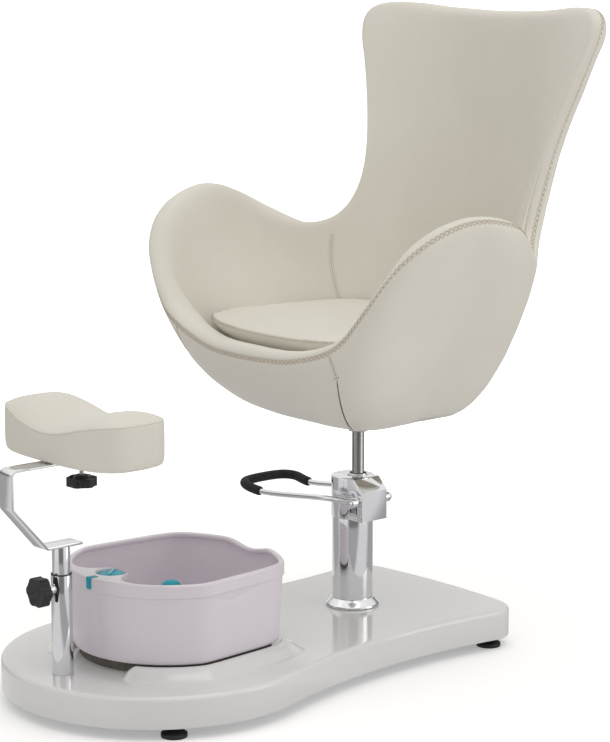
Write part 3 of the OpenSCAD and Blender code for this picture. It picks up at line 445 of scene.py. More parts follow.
SEAT_W, SEAT_D, SEAT_H, LIP_AHEAD = 0.870, 0.693, 0.800, 0.288
FOOT_Z, FOOT_X, FOOT_Y, FOOT_BACK, ROLL_R, RAM_BACK = 0.488, 0.095, 0.135, 0.088, 0.019, 0.0145
RIM_X = [0, .33, .6, .78, .905, .97, 1, .87, .735, .65, .615, .665, .757, .813, .605, .325, 0]
RIM_Y = [0, .015, .03, .045, .105, .28, .43, .567, .67, .725, .79, .835, .87, .9, .955, .993, 1]
RIM_Z = [.19, .193, .24, .353, .465, .53, .51, .438, .4, .433, .556, .72, .865, .98, 1, .988, .982]
RIM_TURN = [-90, -66, -48, -36, -25, -9, 6, 20, 32, 41, 48, 54, 60, 66, 73, 81, 90]
REACH = ([-90, -50, -20, 10, 40, 65, 90], [.5, .85, .24, .2, .42, .42, .9])
DROP = ([-90, -50, -20, 10, 40, 65, 90], [.22, .04, .17, .16, .33, .4, .33])
LEAN = ([-90, -50, -20, 10, 40, 65, 90], [.15, .07, .01, -.02, -.15, -.2, -.04])
INWARD = ([32, 41, 54, 66, 73, 81, 90], [0, .14, .45, .45, .3, .16, 0])
HALF, STEPS = 180, 44
FINE, RIM_PASSES, RIB_PASSES = 10, 10, 50


def seat_wall():
    """Middle surface of the bucket: points from foot to rim at each station round it, and its directions."""
    knots = np.stack([np.array(RIM_X) * (SEAT_W / 2 - ROLL_R),
                      np.array(RIM_Y) * SEAT_D - LIP_AHEAD + RAM_BACK, FOOT_Z + np.array(RIM_Z) * SEAT_H], 1)
    fine = spline(knots, knots[1] * FLIP, knots[-2] * FLIP, FINE)
    turn = np.interp(np.arange(len(fine)) / FINE, np.arange(len(RIM_TURN)), RIM_TURN)
    run = run_along(fine)
    at = np.linspace(0, run[-1], HALF + 1)
    rim = read_at(at, run, fine)
    angle = np.interp(at, run, turn)
    rim = smooth_loop(np.vstack([rim, rim[-2:0:-1] * FLIP]), RIM_PASSES)
    full = np.radians(np.concatenate([angle, 180 - angle[-2:0:-1]]))
    fold = np.concatenate([angle, angle[-2:0:-1]])
    side = np.ones(len(fold))
    side[HALF + 1:] = -1
    ways = [smooth_loop(np.cos(full), RIM_PASSES), smooth_loop(np.sin(full), RIM_PASSES), 0 * full]
    out = unit(np.stack(ways, 1))
    reach, drop, lean, inward = (smooth_loop(np.interp(fold, *table), RIB_PASSES)
                                 for table in (REACH, DROP, LEAN, INWARD))
    foot = np.stack([FOOT_X * out[:, 0], FOOT_BACK + RAM_BACK + FOOT_Y * out[:, 1], FOOT_Z + 0 * side], 1)
    gap = np.linalg.norm((rim - foot)[:, :2], axis=1)[:, None]
    rise = (rim - foot)[:, 2:3]
    away = out * lean[:, None] - UP
    away[:, 0] -= inward * side
    q1 = foot + out * reach[:, None] * gap
    q2 = rim + away * drop[:, None] * rise
    u = np.linspace(0, 1, STEPS + 1)[None, :, None]
    mid = bezier(foot[:, None], q1[:, None], q2[:, None], rim[:, None], u)
    along = unit(np.gradient(mid, axis=1))
    normal = unit(np.cross(np.roll(mid, -1, 0) - np.roll(mid, 1, 0), along))
    return mid + AXIS, normal, along


mid, normal, along = seat_wall()
STATIONS = len(mid)
ARC = math.pi * ROLL_R
outer = mid + ROLL_R * normal
inner = mid - ROLL_R * normal
outer_run, inner_run = run_along(outer[:, ::-1]), run_along(inner[:, ::-1])


def skin(i, q):
    """Points and outward directions of the padding at station i, q metres round its section from the middle
    of the roll on the outer side: below 0 on the outer wall, above ARC on the inner wall."""
    q = np.asarray(q, float)
    turn = np.clip(q / ROLL_R, 0, math.pi)[:, None]
    facing = np.cos(turn) * normal[i, -1] + np.sin(turn) * along[i, -1]
    points = mid[i, -1] + ROLL_R * facing
    for mask, wall, run, depth, sign in ((q < 0, outer, outer_run, -q, 1),
                                         (q > ARC, inner, inner_run, q - ARC, -1)):
        points[mask] = read_at(depth[mask], run[i], wall[i, ::-1])
        facing[mask] = read_at(depth[mask], run[i], sign * normal[i, ::-1])
    return points, unit(facing)


def skin_point(i, q):
    return skin(i, np.array([q]))[0][0]


# Places round the rim are given as shares: 0 in the middle of the front, 1 in the middle of the top
share = np.minimum(np.arange(STATIONS), STATIONS - np.arange(STATIONS)) / HALF
on_left = np.arange(STATIONS) > HALF

SEAM = ([0, .035, .07, .10, .20, .23, .33, .40, .47, .53, .62, .66, .70, .74, .82, .86, 1],
        [-6, -3, 0, 3, 5, 10, 12, 15, 16, 27, 27, 27, 25, 25, 27, 24, 20])
SEAM_HIDDEN = 14
hidden = grows(share, 0.13, 0.03) * fades(share, 0.30, 0.05) * on_left
seam = smooth_loop(np.interp(share, *SEAM) - SEAM_HIDDEN * hidden, 6) / 1000
top_edge = grows(share, 0.84, 0.04)
broad = fades(share, 0.21, 0.09)
broad = broad * broad * (3 - 2 * broad)
arm = smooth_loop(grows(share, 0.12, 0.12) * fades(share, 0.58, 0.12), 8)

# Lengths of the roll: everywhere, what the broad front adds, and what the arms add
LIP_TOP = ARC / 2
ROLL_FOOT, ROLL_IN, ROLL_DOWN = (0.065, 0.035, 0.100), (0.030, 0.055, 0.012), (0.050, 0.025, 0.060)
SEAM_DEEP, SEAM_WIDE = 0.0022, 0.0045
CREASE_AT, CREASE_DEEP, CREASE_WIDE = 0.040, 0.0011, 0.004
SWELLS = ((0.0008, 0.16, 3), (0.0004, 0.06, 5))


def soft_roll(i, q, points):
    """Lets the roll pass gently into the inner wall, and widens it in front towards the cushion."""
    way_in, way_down = (a + b * broad[i] + c * arm[i] for a, b, c in (ROLL_IN, ROLL_DOWN))
    foot = ARC + ROLL_FOOT[0] + ROLL_FOOT[1] * broad[i] + ROLL_FOOT[2] * arm[i]
    u = np.clip((q - LIP_TOP) / (foot - LIP_TOP), 0, 1)[:, None]
    start, stop = skin_point(i, LIP_TOP), skin_point(i, foot)
    run_in = unit(skin_point(i, LIP_TOP + 0.002) - start)
    run_down = unit(skin_point(i, foot + 0.004) - stop)
    curve = bezier(start, start + way_in * run_in, stop - way_down * run_down, stop, u)
    return np.where(((q > LIP_TOP) & (q < foot))[:, None], curve, points)


def dip(distance, depth, width):
    return depth * np.exp(-(distance / width) ** 2)


def sheet_of(i, q):
    """Skin with the dip along the seam, the crease under the top edge and the softness of padded vinyl."""
    points, facing = skin(i, q)
    points = soft_roll(i, q, points)
    sink = dip(q - seam[i], SEAM_DEEP, SEAM_WIDE) + top_edge[i] * dip(q - CREASE_AT, CREASE_DEEP, CREASE_WIDE)
    swell = sum(height * waves(points, length, seed) for height, length, seed in SWELLS)
    return points + facing * (swell - sink)[:, None]


def spread(start, stop, grow, count):
    """Numbers from start to stop whose steps grow steadily."""
    steps = grow ** np.arange(count)
    return start + (stop - start) * np.concatenate([[0], np.cumsum(steps)]) / steps.sum()


NEAR_SEAM = np.array([0, 0.0007, 0.0016, 0.003, 0.005, 0.0075])
SEAM_CLEAR, FOOT_RING, ROW_GROWTH = 0.0105, 0.0226, 1.035
TUCKS = (0.013, 0.006)
levels = np.arange(STEPS + 1)
lining, cover = [], []
for i in range(STATIONS):
    foot_edge = np.interp(FOOT_RING, np.linalg.norm(mid[i] - mid[i, :1], axis=1), levels)
    ends = [np.interp(foot_edge, levels, run[i, ::-1]) for run in (outer_run, inner_run)]
    q_in = np.concatenate([seam[i] + NEAR_SEAM, spread(seam[i] + SEAM_CLEAR, ARC + 0.004, 1, 14),
                           spread(ARC + 0.009, ARC + ends[1], ROW_GROWTH, 36)])
    q_out = np.concatenate([seam[i] - NEAR_SEAM, spread(seam[i] - SEAM_CLEAR, -ends[0], ROW_GROWTH, 38)])
    lining.append(sheet_of(i, q_in))
    tuck = [read_at(foot_edge, levels, mid[i]) + d * normal[i, int(foot_edge)] for d in TUCKS]
    cover.append(np.vstack([sheet_of(i, q_out), tuck]))
lining, cover = np.array(lining), np.array(cover)


def low_pass(grid, weight, passes):
    """Takes short waves out of a grid that is closed round the seat, without shrinking it."""
    for _ in range(passes):
        for factor in (0.6, -0.61):
            line = grid.copy()
            line[:, 1:-1] = (grid[:, :-2] + grid[:, 2:]) / 2
            around = (np.roll(grid, 1, 0) + np.roll(grid, -1, 0)) / 2
            grid = grid + factor * weight * ((line + around) / 2 - grid)
    return grid


# The free wall below the roll is smoothed, most of all in the wings of the back
ROLL_ROWS, BLEND_ROWS, FOOT_ROWS, WALL_PASSES, WING_PASSES = 19, 9, 3, 120, 320
rows_down = lining.shape[1]
row = np.arange(rows_down)
loose = grows(row, ROLL_ROWS, BLEND_ROWS) * fades(row, rows_down - FOOT_ROWS, FOOT_ROWS)
lining = low_pass(lining, loose[None, :, None], WALL_PASSES)
wing = grows(share, 0.42, 0.08) * fades(share, 0.94, 0.08)
for _ in range(WING_PASSES):
    around = (np.roll(lining, 1, 0) + np.roll(lining, -1, 0)) / 2
    lining = lining + 0.5 * (wing[:, None] * loose[None, :])[..., None] * (around - lining)
seat_lining = piece("seat_lining", lining, strip_faces(STATIONS, rows_down, True), "ivory_vinyl", "seat",
                    sharp=None)
seat_cover = piece("seat_cover", cover, strip_faces(STATIONS, cover.shape[1], True), "ivory_vinyl", "seat",
                   sharp=None)
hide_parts("inner_upholstery")
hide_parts("outer_cover")


def loop(path):
    return np.vstack([path, path[:1]])


seam_path = np.array([sheet_of(i, np.array([seam[i]]))[0] for i in range(STATIONS)])
seam_normal = np.array([skin(i, np.array([seam[i]]))[1][0] for i in range(STATIONS)])
crosses("rim_stitches", loop(seam_path), loop(seam_normal), 0.0110, 0.0047, "seat", lift=0.0018)


def laid_on(made, points, push=0.0):
    """Points moved to the nearest places of a piece, and the directions of its surface there."""
    tree = BVHTree.FromObject(made, bpy.context.evaluated_depsgraph_get())
    found = [tree.find_nearest(Vector(p)) for p in points]
    facing = np.array([np.array(f[1]) for f in found])
    return np.array([np.array(f[0]) for f in found]) + push * facing, facing


def wall_path(surface, start, stop, steps):
    """Line across the wall of the bucket between two (station, level) places."""
    at = np.linspace(0, 1, steps)
    i, j = start[0] + (stop[0] - start[0]) * at, start[1] + (stop[1] - start[1]) * at
    low, left = np.floor(j).astype(int), np.floor(i).astype(int)
    low = np.minimum(low, STEPS - 1)
    a, b = (j - low)[:, None], (i - left)[:, None]
    here, there = left % STATIONS, (left + 1) % STATIONS
    return ((1 - b) * ((1 - a) * surface[here, low] + a * surface[here, low + 1])
            + b * ((1 - a) * surface[there, low] + a * surface[there, low + 1]))


def sideways(path, facing):
    """Directions across a path, along the surface that it lies on."""
    return np.cross(facing, unit(np.gradient(path, axis=0)))


def topstitched(name, made, surface, start, stop, gap=0.004, steps=60):
    """Seam in a shallow groove with a row of short stitches on each side."""
    path, facing = laid_on(made, wall_path(surface, start, stop, steps), 0.0001)
    # The seam line is darker ivory: painted shade in its groove.
    tube(name + "_seam", path, 0.0006, "ivory_painted_shade", "seat", sides=6)
    for k, way in ((1, -1), (2, 1)):
        row, row_facing = laid_on(made, path + way * gap * sideways(path, facing))
        crosses("%s_row_%d" % (name, k), row, row_facing, 0.0042, 0, "seat", lift=0.0002, radius=0.00028,
                share=0.36, look="pale_thread")


# Each front dart is sewn from the rim down to a tack, and open below it as a slit between two folds
SLIT_STEPS, FOLD_OUT, FOLD_SUNK = 50, 0.0015, 0.0004
SLIT_HALF = ([0, 0.1, 0.5, 1], [0.0003, 0.0011, 0.0016, 0.0022])
FOLD_R = ([0, 6, 49], [0.0006, 0.0017, 0.0019])
for side, tag in ((-1, "left"), (1, "right")):
    topstitched("back_dart_" + tag, seat_lining, inner, (side * 95.5, STEPS - 1), (side * 90.5, 21))
    topstitched("front_dart_" + tag, seat_cover, outer, (side * 23, 43.4), (side * 23.3, 32.2), gap=0.0025,
                steps=40)
    tack, tack_facing = laid_on(seat_cover, wall_path(outer, (side * 22.6, 31.6), (side * 24.0, 31.6), 12))
    crosses("dart_tack_" + tag, tack, tack_facing, 0.0011, 0.0008, "seat", lift=0.0004, radius=0.0004,
            look="pale_thread")
    # The open slit below the tack is a dark strip: painted shadow between the two folds.
    slit = wall_path(outer, (side * 23.3, 31.2), (side * 20.2, 6), SLIT_STEPS)
    slit, slit_facing = laid_on(seat_cover, slit, 0.0002)
    across = sideways(slit, slit_facing)
    width = np.interp(np.linspace(0, 1, SLIT_STEPS), *SLIT_HALF)[:, None]
    strip = np.stack([slit - width * across, slit + width * across], 1)
    piece("dart_slit_shadow_" + tag, strip, strip_faces(SLIT_STEPS, 2), "shadow_line", "seat",
          sharp=None)
    fold_r = np.interp(np.arange(SLIT_STEPS), *FOLD_R)
    for k, way in ((1, -1), (2, 1)):
        fold = slit + way * (width + FOLD_OUT) * across - FOLD_SUNK * slit_facing
        tube("dart_fold_%s_%d" % (tag, k), fold, fold_r, "ivory_vinyl", "seat", sides=10)

# Cushions

ROUND = 160
CLOTH_FRAMES, CLOTH_PRESSURE, CLOTH_STIFF = 20, 3.0, 8.0


def crowned(centre, rx, ry, power, rings, taper=0.0):
    """Closed form from rings of (share of width, height), where each height is a function of place."""
    outline = superellipse(1, 1, power, ROUND)
    outline[:, 0] *= 1 - taper * outline[:, 1]
    verts = []
    for s, height in rings:
        flat = outline * [rx * s, ry * s] + centre[:2]
        verts.append(np.column_stack([flat, height(flat[:, 0], flat[:, 1])]))
    return np.vstack(verts), solid_faces(len(rings), ROUND)


def inflate(made, limit, voxel, pins):
    """Cloth simulation that lets the piece swell between its pinned seams, with its movement capped."""
    remesh = made.modifiers.new("remesh", "REMESH")
    remesh.mode = "VOXEL"
    remesh.voxel_size = voxel
    apply(made)
    start = np.array([v.co for v in made.data.vertices])
    group = made.vertex_groups.new(name="pin")
    for k, w in enumerate(pins(start)):
        if w > 0.01:
            group.add([k], float(w), "REPLACE")
    cloth = made.modifiers.new("cloth", "CLOTH")
    for key, value in dict(quality=6, mass=0.4, use_pressure=True, uniform_pressure_force=CLOTH_PRESSURE,
                           tension_stiffness=CLOTH_STIFF, compression_stiffness=CLOTH_STIFF,
                           shear_stiffness=CLOTH_STIFF / 2, bending_stiffness=0.3,
                           vertex_group_mass="pin").items():
        setattr(cloth.settings, key, value)
    cloth.settings.effector_weights.gravity = 0
    cloth.collision_settings.use_collision = False
    cloth.collision_settings.use_self_collision = False
    for step in range(1, CLOTH_FRAMES + 1):
        scene.frame_set(step)
    swollen = made.evaluated_get(bpy.context.evaluated_depsgraph_get()).data
    end = np.array([v.co for v in swollen.vertices])
    made.modifiers.clear()
    scene.frame_set(1)
    move = end - start
    size = np.linalg.norm(move, axis=1, keepdims=True)
    end = start + move * np.minimum(1, limit / np.maximum(size, 1e-9))
    made.data.vertices.foreach_set("co", end.ravel())
    made.data.update()
    smooth = made.modifiers.new("smooth", "SMOOTH")
    smooth.factor = 0.5
    smooth.iterations = 4
    finer = made.modifiers.new("finer", "SUBSURF")
    finer.levels = 1
    finer.render_levels = 1
    apply(made)
    for face in made.data.polygons:
        face.use_smooth = True


def ring_path(made, outline, z_of, centre, push):
    """Path round a cushion, laid on its surface at the given height, and the surface's directions."""
    tree = BVHTree.FromObject(made, bpy.context.evaluated_depsgraph_get())
    path, facing = [], []
    for x, y in outline:
        target = Vector((x, y, z_of(x, y)))
        hub = Vector((centre[0] + 0.6 * (x - centre[0]), centre[1] + 0.6 * (y - centre[1]), z_of(x, y)))
        ray = (target - hub).normalized()
        hit, n, _, _ = tree.ray_cast(target + ray * 0.06, -ray)
        if hit is None:
            hit, n, _, _ = tree.find_nearest(target)
        path.append(np.array(hit) + push * np.array(n))
        facing.append(np.array(n))
    return np.array(path), np.array(facing)


c_low, c_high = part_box("seat_cushion")
c_mid = np.array((c_low + c_high) / 2)
c_rx, c_ry, c_z = 0.259, (c_high.y - c_low.y) / 2, c_low.z
C_EDGE, C_CROWN, C_POWER, C_TAPER, C_SAG = 0.076, 0.017, 3.4, 0.12, 0.008
C_WELT, C_SEAM_Z = 0.0695, 0.0712


def cushion_share(x, y):
    """How far out a place lies, 1 on the outline."""
    along_y = (y - c_mid[1]) / c_ry
    return power_share((x - c_mid[0]) / (c_rx * (1 - C_TAPER * along_y)), along_y, C_POWER)


def sag(x):
    """The edge of the cushion hangs a little lower in the middle of its front."""
    return C_SAG * np.minimum(1, (x / 0.2) ** 2)


def cushion_top(x, y):
    r = np.minimum(1, cushion_share(x, y))
    return c_z + C_EDGE - 0.004 + sag(x) * r ** 2 + C_CROWN * (1 - r ** 2)


def cushion_side(height):
    return lambda x, y: c_z + height * (1 + sag(x) / C_EDGE)


def cushion_pins(points):
    on_seam = np.abs(points[:, 2] - cushion_side(C_WELT)(points[:, 0], 0)) < 0.0045
    on_edge = cushion_share(points[:, 0], points[:, 1]) > 0.94
    return np.where((points[:, 2] < c_z + 0.012) | (on_seam & on_edge), 1.0, 0.0)


cushion_rings = [(s, cushion_side(h)) for s, h in (
    (0.6, 0.0005), (0.77, 0.001), (0.80, 0.004), (0.825, 0.010), (0.862, 0.021), (0.90, 0.034),
    (0.935, 0.046), (0.965, 0.057), (0.983, 0.065), (0.989, C_WELT), (0.984, 0.0735), (0.968, 0.0765))]
cushion_rings += [(s, cushion_top) for s in (0.93, 0.87, 0.78, 0.66, 0.52, 0.38, 0.24, 0.1)]
verts, faces = crowned(c_mid, c_rx, c_ry, C_POWER, cushion_rings, C_TAPER)
seat_cushion = piece("seat_cushion_cover", verts, faces, "ivory_vinyl", "seat", sharp=None)
inflate(seat_cushion, 0.007, 0.006, cushion_pins)
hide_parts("seat_cushion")
LINE_STEPS = 240
cushion_line = superellipse(1, 1, C_POWER, LINE_STEPS)
half_widths = np.column_stack([c_rx * (1 - C_TAPER * cushion_line[:, 1]), [c_ry] * LINE_STEPS])
cushion_line = cushion_line * half_widths + c_mid[:2]
c_path, c_normal = ring_path(seat_cushion, cushion_line, cushion_side(C_SEAM_Z), c_mid, push=-0.0004)
# The seam line round the cushion is darker ivory: painted shade where the welt meets the side.
tube("cushion_seam", c_path, 0.0008, "ivory_painted_shade", "seat", sides=6, closed=True)
crosses("cushion_stitches", loop(c_path), loop(c_normal), 0.0100, 0.0038, "seat", lift=0.0009, radius=0.00032,
        look="pale_thread")

p_low, p_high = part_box("pad_cushion")
p_mid = np.array((p_low + p_high) / 2) + [0, 0.006, 0]
p_rx, p_ry, P_POWER, p_z = 0.181, 0.0945, 3.3, p_low.z - 0.002
PAD_UP, PAD_HOLLOW, PAD_CROWN = 0.086, 0.029, 0.043


def pad_dip(x):
    return (1 + np.cos(math.pi * (x - p_mid[0]) / p_rx)) / 2


def pad_edge(x):
    return p_z + PAD_UP - PAD_HOLLOW * pad_dip(x)


def pad_side(share_up):
    return lambda x, y: p_z + (pad_edge(x) - p_z) * share_up


def pad_crown(s):
    return lambda x, y: pad_edge(x) + PAD_CROWN * (1 - s * s) * (1 - 0.5 * pad_dip(x))


def pad_pins(points):
    share_out = power_share((points[:, 0] - p_mid[0]) / p_rx, (points[:, 1] - p_mid[1]) / p_ry, P_POWER)
    on_seam = (np.abs(points[:, 2] - pad_edge(points[:, 0])) < 0.004) & (share_out > 0.93)
    return np.where((points[:, 2] < p_z + 0.006) | on_seam, 1.0, 0.0)


pad_rings = [(s, pad_side(h)) for s, h in (
    (0.80, 0), (0.945, 0), (0.968, 0.010), (0.984, 0.04), (0.992, 0.09), (0.995, 0.17), (0.997, 0.30),
    (0.998, 0.45), (0.998, 0.60), (0.998, 0.75), (0.997, 0.87), (0.995, 0.94), (0.991, 0.98), (0.985, 1.0))]
pad_rings += [(s, pad_crown(s)) for s in (0.97, 0.945, 0.91, 0.86, 0.79, 0.70, 0.60, 0.49, 0.38, 0.27, 0.16,
                                          0.06)]
verts, faces = crowned(p_mid, p_rx, p_ry, P_POWER, pad_rings)
leg_pad = piece("leg_pad_cover", verts, faces, "ivory_vinyl", "pad", sharp=None)
inflate(leg_pad, 0.004, 0.005, pad_pins)
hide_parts("pad_cushion")
pad_line = superellipse(p_rx, p_ry, P_POWER, 200) + p_mid[:2]
p_path, p_normal = ring_path(leg_pad, pad_line, lambda x, y: pad_edge(x) - 0.0012, p_mid, push=0.0004)
tube("leg_pad_piping", p_path, 0.0014, "ivory_vinyl", "pad", sides=10, closed=True)
# A darker line under the piping: painted shade in its groove.
groove = p_path - 0.0022 * UP - 0.0006 * p_normal
tube("leg_pad_groove_shade", groove, 0.0007, "ivory_painted_shade", "pad", sides=6, closed=True)
board = bevelled("pad_board", 0.001)
board_mid, BOARD_X, BOARD_Y = middle("pad_board"), 0.96, 0.80
for corner in board.data.vertices:
    corner.co.x = board_mid.x + BOARD_X * (corner.co.x - board_mid.x)
    corner.co.y = board_mid.y + 0.006 + BOARD_Y * (corner.co.y - board_mid.y)

# Base: glossy shell with a rolled edge, and the two collars beside the bath


def direction(turn):
    return np.array([math.cos(math.radians(turn)), math.sin(math.radians(turn))])


def arc(centre, r, start, stop, steps):
    return np.array([np.asarray(centre) + r * direction(start + (stop - start) * i / steps)
                     for i in range(steps + 1)])


BASE_LOW, BASE_TOP, BASE_ROLL, BASE_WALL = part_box("base_shell")[0].z, 0.0825, 0.009, 0.004
FRONT_R, FRONT_AHEAD, WAIST_HALF, WAIST_AHEAD = 0.304, 0.508, 0.224, 0.014
CORNER_R, CORNER_BACK, REAR_R = 0.064, 0.182, 1.550
waist_r = (FRONT_R ** 2 - WAIST_HALF ** 2 - (FRONT_AHEAD - WAIST_AHEAD) ** 2) / (2 * (WAIST_HALF - FRONT_R))
waist_c = np.array([WAIST_HALF + waist_r, -WAIST_AHEAD])
waist_turn = math.degrees(math.atan2(FRONT_AHEAD - WAIST_AHEAD, waist_c[0]))
corner_turn = math.degrees(math.asin((CORNER_BACK + WAIST_AHEAD) / waist_r))
corner_c = waist_c + (waist_r + CORNER_R) * direction(180 - corner_turn)
rear_c = np.array([0, corner_c[1] - math.sqrt((REAR_R - CORNER_R) ** 2 - corner_c[0] ** 2)])
rear_turn = math.degrees(math.atan2(corner_c[1] - rear_c[1], corner_c[0]))


def base_outline(d):
    half = np.vstack([arc((0, -FRONT_AHEAD), FRONT_R - d, -90, waist_turn, 72),
                      arc(waist_c, waist_r + d, 180 + waist_turn, 180 - corner_turn, 36)[1:],
                      arc(corner_c, CORNER_R - d, -corner_turn, rear_turn, 24)[1:],
                      arc(rear_c, REAR_R - d, rear_turn, 90, 10)[1:]])
    return whole(half) + AXIS[:2]


def level(flat, z):
    return np.column_stack([flat, np.full(len(flat), z)])


base_profile = [(BASE_WALL, BASE_TOP - BASE_WALL), (BASE_WALL, BASE_LOW + 0.001),
                (BASE_WALL - 0.001, BASE_LOW), (0.0012, BASE_LOW), (0.0003, BASE_LOW + 0.0004),
                (0, BASE_LOW + 0.0014), (0, BASE_TOP - BASE_ROLL - 0.002)]
for step in range(11):
    turn = math.radians(9 * step)
    base_profile.append((BASE_ROLL * (1 - math.cos(turn)), BASE_TOP - BASE_ROLL + BASE_ROLL * math.sin(turn)))
base_profile.append((BASE_ROLL + 0.004, BASE_TOP))
base_rings = np.array([level(base_outline(d), z) for d, z in base_profile])
base_finish = ring_piece("base_finish", base_rings, "base_plastic", "base", sharp=50, ends=True)
CUT_LOW, CUT_HIGH = BASE_TOP - 0.02, BASE_TOP + 0.01
for hole_y, hole_r in ((AXIS[1], 0.0424), (middle("outer_post").y, 0.0204)):
    cutter = lathe("hole_cutter", [(0.0, CUT_LOW), (hole_r, CUT_LOW), (hole_r, CUT_HIGH), (0.0, CUT_HIGH)],
                   (0, hole_y, 0), "base_plastic", "base", sides=72)
    cut_away(base_finish, cutter)
tidy(base_finish, 50, False)
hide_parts("base_shell")

BATH_R, BATH_AHEAD, BATH_SKIRT = 0.203, 0.475, 0.1030
bath_low, bath_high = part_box("foot_bath")
BATH_TOP, BATH_WALL, BAND_H, BAND_OUT = bath_high.z, 0.0035, 0.026, 0.003
LIP = BATH_WALL + BAND_OUT
SIDE = np.array([[.955, -.34], [.916, .123], [.857, .616], [.764, .773], [.355, .975], [0, 1]]) * BATH_R
side_curve = spline(SIDE, 2 * SIDE[0] - SIDE[1], SIDE[4] * [-1, 1], 12)
bath_half = np.vstack([arc((0, 0), BATH_R, -90, -50, 80), arc((0, 0), BATH_R, -50, -20, 24)[1:-1],
                       side_curve])
bath_outline = smooth_loop(whole(bath_half), 8)
bath_centre = np.array([0, -BATH_AHEAD]) + AXIS[:2]

COLLAR_IN, COLLAR_OUT, COLLAR_UP, COLLAR_FIRST, COLLAR_SHORT = -0.0061, 0.046, 0.0195, 50, 18
ring = bath_outline + bath_centre
side_points = np.arange(COLLAR_FIRST, len(bath_half) - COLLAR_SHORT)
collar_profile = [(COLLAR_IN, -0.002), (COLLAR_IN, 0.0), (COLLAR_IN, 0.6 * COLLAR_UP),
                  (COLLAR_IN + 0.0006, 0.9 * COLLAR_UP), (COLLAR_IN + 0.002, COLLAR_UP)]
for t in np.linspace(0, 1, 15):
    fall = COLLAR_UP * (1 + math.cos(math.pi * t)) / 2 - 0.0008 * t
    collar_profile.append((0.001 + (COLLAR_OUT - 0.001) * t, fall))
ends = np.minimum(np.arange(len(side_points)), np.arange(len(side_points))[::-1])
ends = np.sin(np.clip(ends / np.where(side_points < 90, 15, 5), 0, 1) * math.pi / 2) ** 1.2
taper = 0.25 + 0.75 * np.interp(np.arange(len(ring)), side_points, ends)
for mirror, tag in ((1, "right"), (-1, "left")):
    rows = []
    for d, z in collar_profile:
        moved = inset(ring, -(d if d < 0 else d * taper))[side_points]
        rows.append(np.column_stack([moved[:, 0] * mirror, moved[:, 1], BASE_TOP - 0.0002 + z * ends]))
    rows = np.array(rows).transpose(1, 0, 2)
    piece("base_collar_" + tag, rows, strip_faces(len(rows), rows.shape[1]), "base_plastic", "base", sharp=50)

# Foot bath

notch_half, notch_deep = 0.36 * BATH_R, 0.42 * BAND_H


def bath_ring(scale, d, z, low_back=0.0):
    """Ring of the tub, from its share of the outline, inset, height and part in the notch behind."""
    flat = inset(bath_outline * scale, d)
    notch = np.where((flat[:, 1] > 0) & (np.abs(flat[:, 0]) < notch_half),
                     (1 + np.cos(np.clip(flat[:, 0] / notch_half, -1, 1) * math.pi)) / 2, 0)
    return np.column_stack([flat + bath_centre, z - low_back * notch_deep * notch])


def between(a, b, steps):
    return [tuple(np.array(a) + (np.array(b) - np.array(a)) * t) for t in np.linspace(0, 1, steps + 1)]


top_band = BATH_TOP - BAND_H
SCOOP_DEEP, SCOOP_LOW, SCOOP_UP = 0.0035, 0.020, 0.016


def scoop(z):
    """Shallow grips in the sides, below the band: deep at their lower edge, running out upwards."""
    turn = np.degrees(np.arctan2(bath_outline[:, 1], np.abs(bath_outline[:, 0])))
    low = top_band - SCOOP_LOW * np.clip(1 - ((turn - 1) / 21) ** 2, 0, 1)
    return SCOOP_DEEP * grows(z, low, SCOOP_DEEP) * fades(z, top_band, SCOOP_UP)


# The rim widens in front to a tongue that holds the dial
RIM_EDGE, RIM_WIDE, TONGUE_TURN = 0.0032, 0.0115, 42
off_front = np.abs(np.degrees(np.arctan2(bath_outline[:, 0], -bath_outline[:, 1])))
tongue_r = np.interp(off_front, [0, 8, 10.5, 12.5, 14.5, 16.5, 19, 23, 28, 34, TONGUE_TURN],
                     [.1165, .1175, .1215, .130, .146, .161, .172, .1815, .1875, .1905, .1915])
rim_wide = smooth_loop(np.where(off_front < TONGUE_TURN, BATH_R - tongue_r, RIM_WIDE), 6)
rim_deep = np.interp(rim_wide, [RIM_WIDE, 0.03], [0.0075, 0.0135])
rim_turns = [math.pi * step / 12 for step in range(7)]
bath_shape = [(.865, 0, bath_low.z, 0), (.88, 0, bath_low.z, 0), (.88, 0, BATH_SKIRT, 0),
              (.93, 0, BATH_SKIRT, 0), (.944, 0, BATH_SKIRT + .0008, 0), (.95, 0, BATH_SKIRT + .0035, 0)]
for share_up in np.concatenate([np.linspace(0, 0.76, 13), np.linspace(0.77, 1, 16)]):
    z = BATH_SKIRT + .008 + share_up * (top_band - .001 - BATH_SKIRT - .008)
    bath_shape.append((.951 + share_up * (.049 - BAND_OUT / BATH_R), scoop(z), z, 0))
bath_shape += [(1 - .6 * BAND_OUT / BATH_R, 0, top_band, 0),
               (1 - .2 * BAND_OUT / BATH_R, 0, top_band + .0008, 0), (1, 0, top_band + .002, 0)]
bath_shape += between((1, 0, top_band + .004, 0), (1, 0, BATH_TOP - RIM_EDGE - .001, .9), 5)
bath_shape += [(1, RIM_EDGE * (1 - math.cos(turn)), BATH_TOP - RIM_EDGE * (1 - math.sin(turn)), 1)
               for turn in rim_turns]
bath_shape += [(1, RIM_EDGE + t * (rim_wide - 2 * RIM_EDGE), BATH_TOP, 1) for t in (0.2, 0.4, 0.6, 0.8)]
bath_shape += [(1, rim_wide - RIM_EDGE * (1 - math.sin(turn)), BATH_TOP - RIM_EDGE * (1 - math.cos(turn)), 1)
               for turn in rim_turns]
bath_shape += [(1, rim_wide, BATH_TOP - 0.7 * rim_deep, 1), (1, rim_wide - 0.0006, BATH_TOP - rim_deep, 1),
               (1, LIP + 0.6 * (rim_wide - LIP), BATH_TOP - rim_deep - 0.0015, .9),
               (1, LIP, BATH_TOP - rim_deep - 0.004, .8), (1, LIP, BATH_TOP - 0.0225, .2),
               (1, LIP, top_band, 0)]
bath_shape += between((.998, LIP, top_band - .004, 0), (.95, BATH_WALL, BATH_SKIRT + .0105, 0), 14)
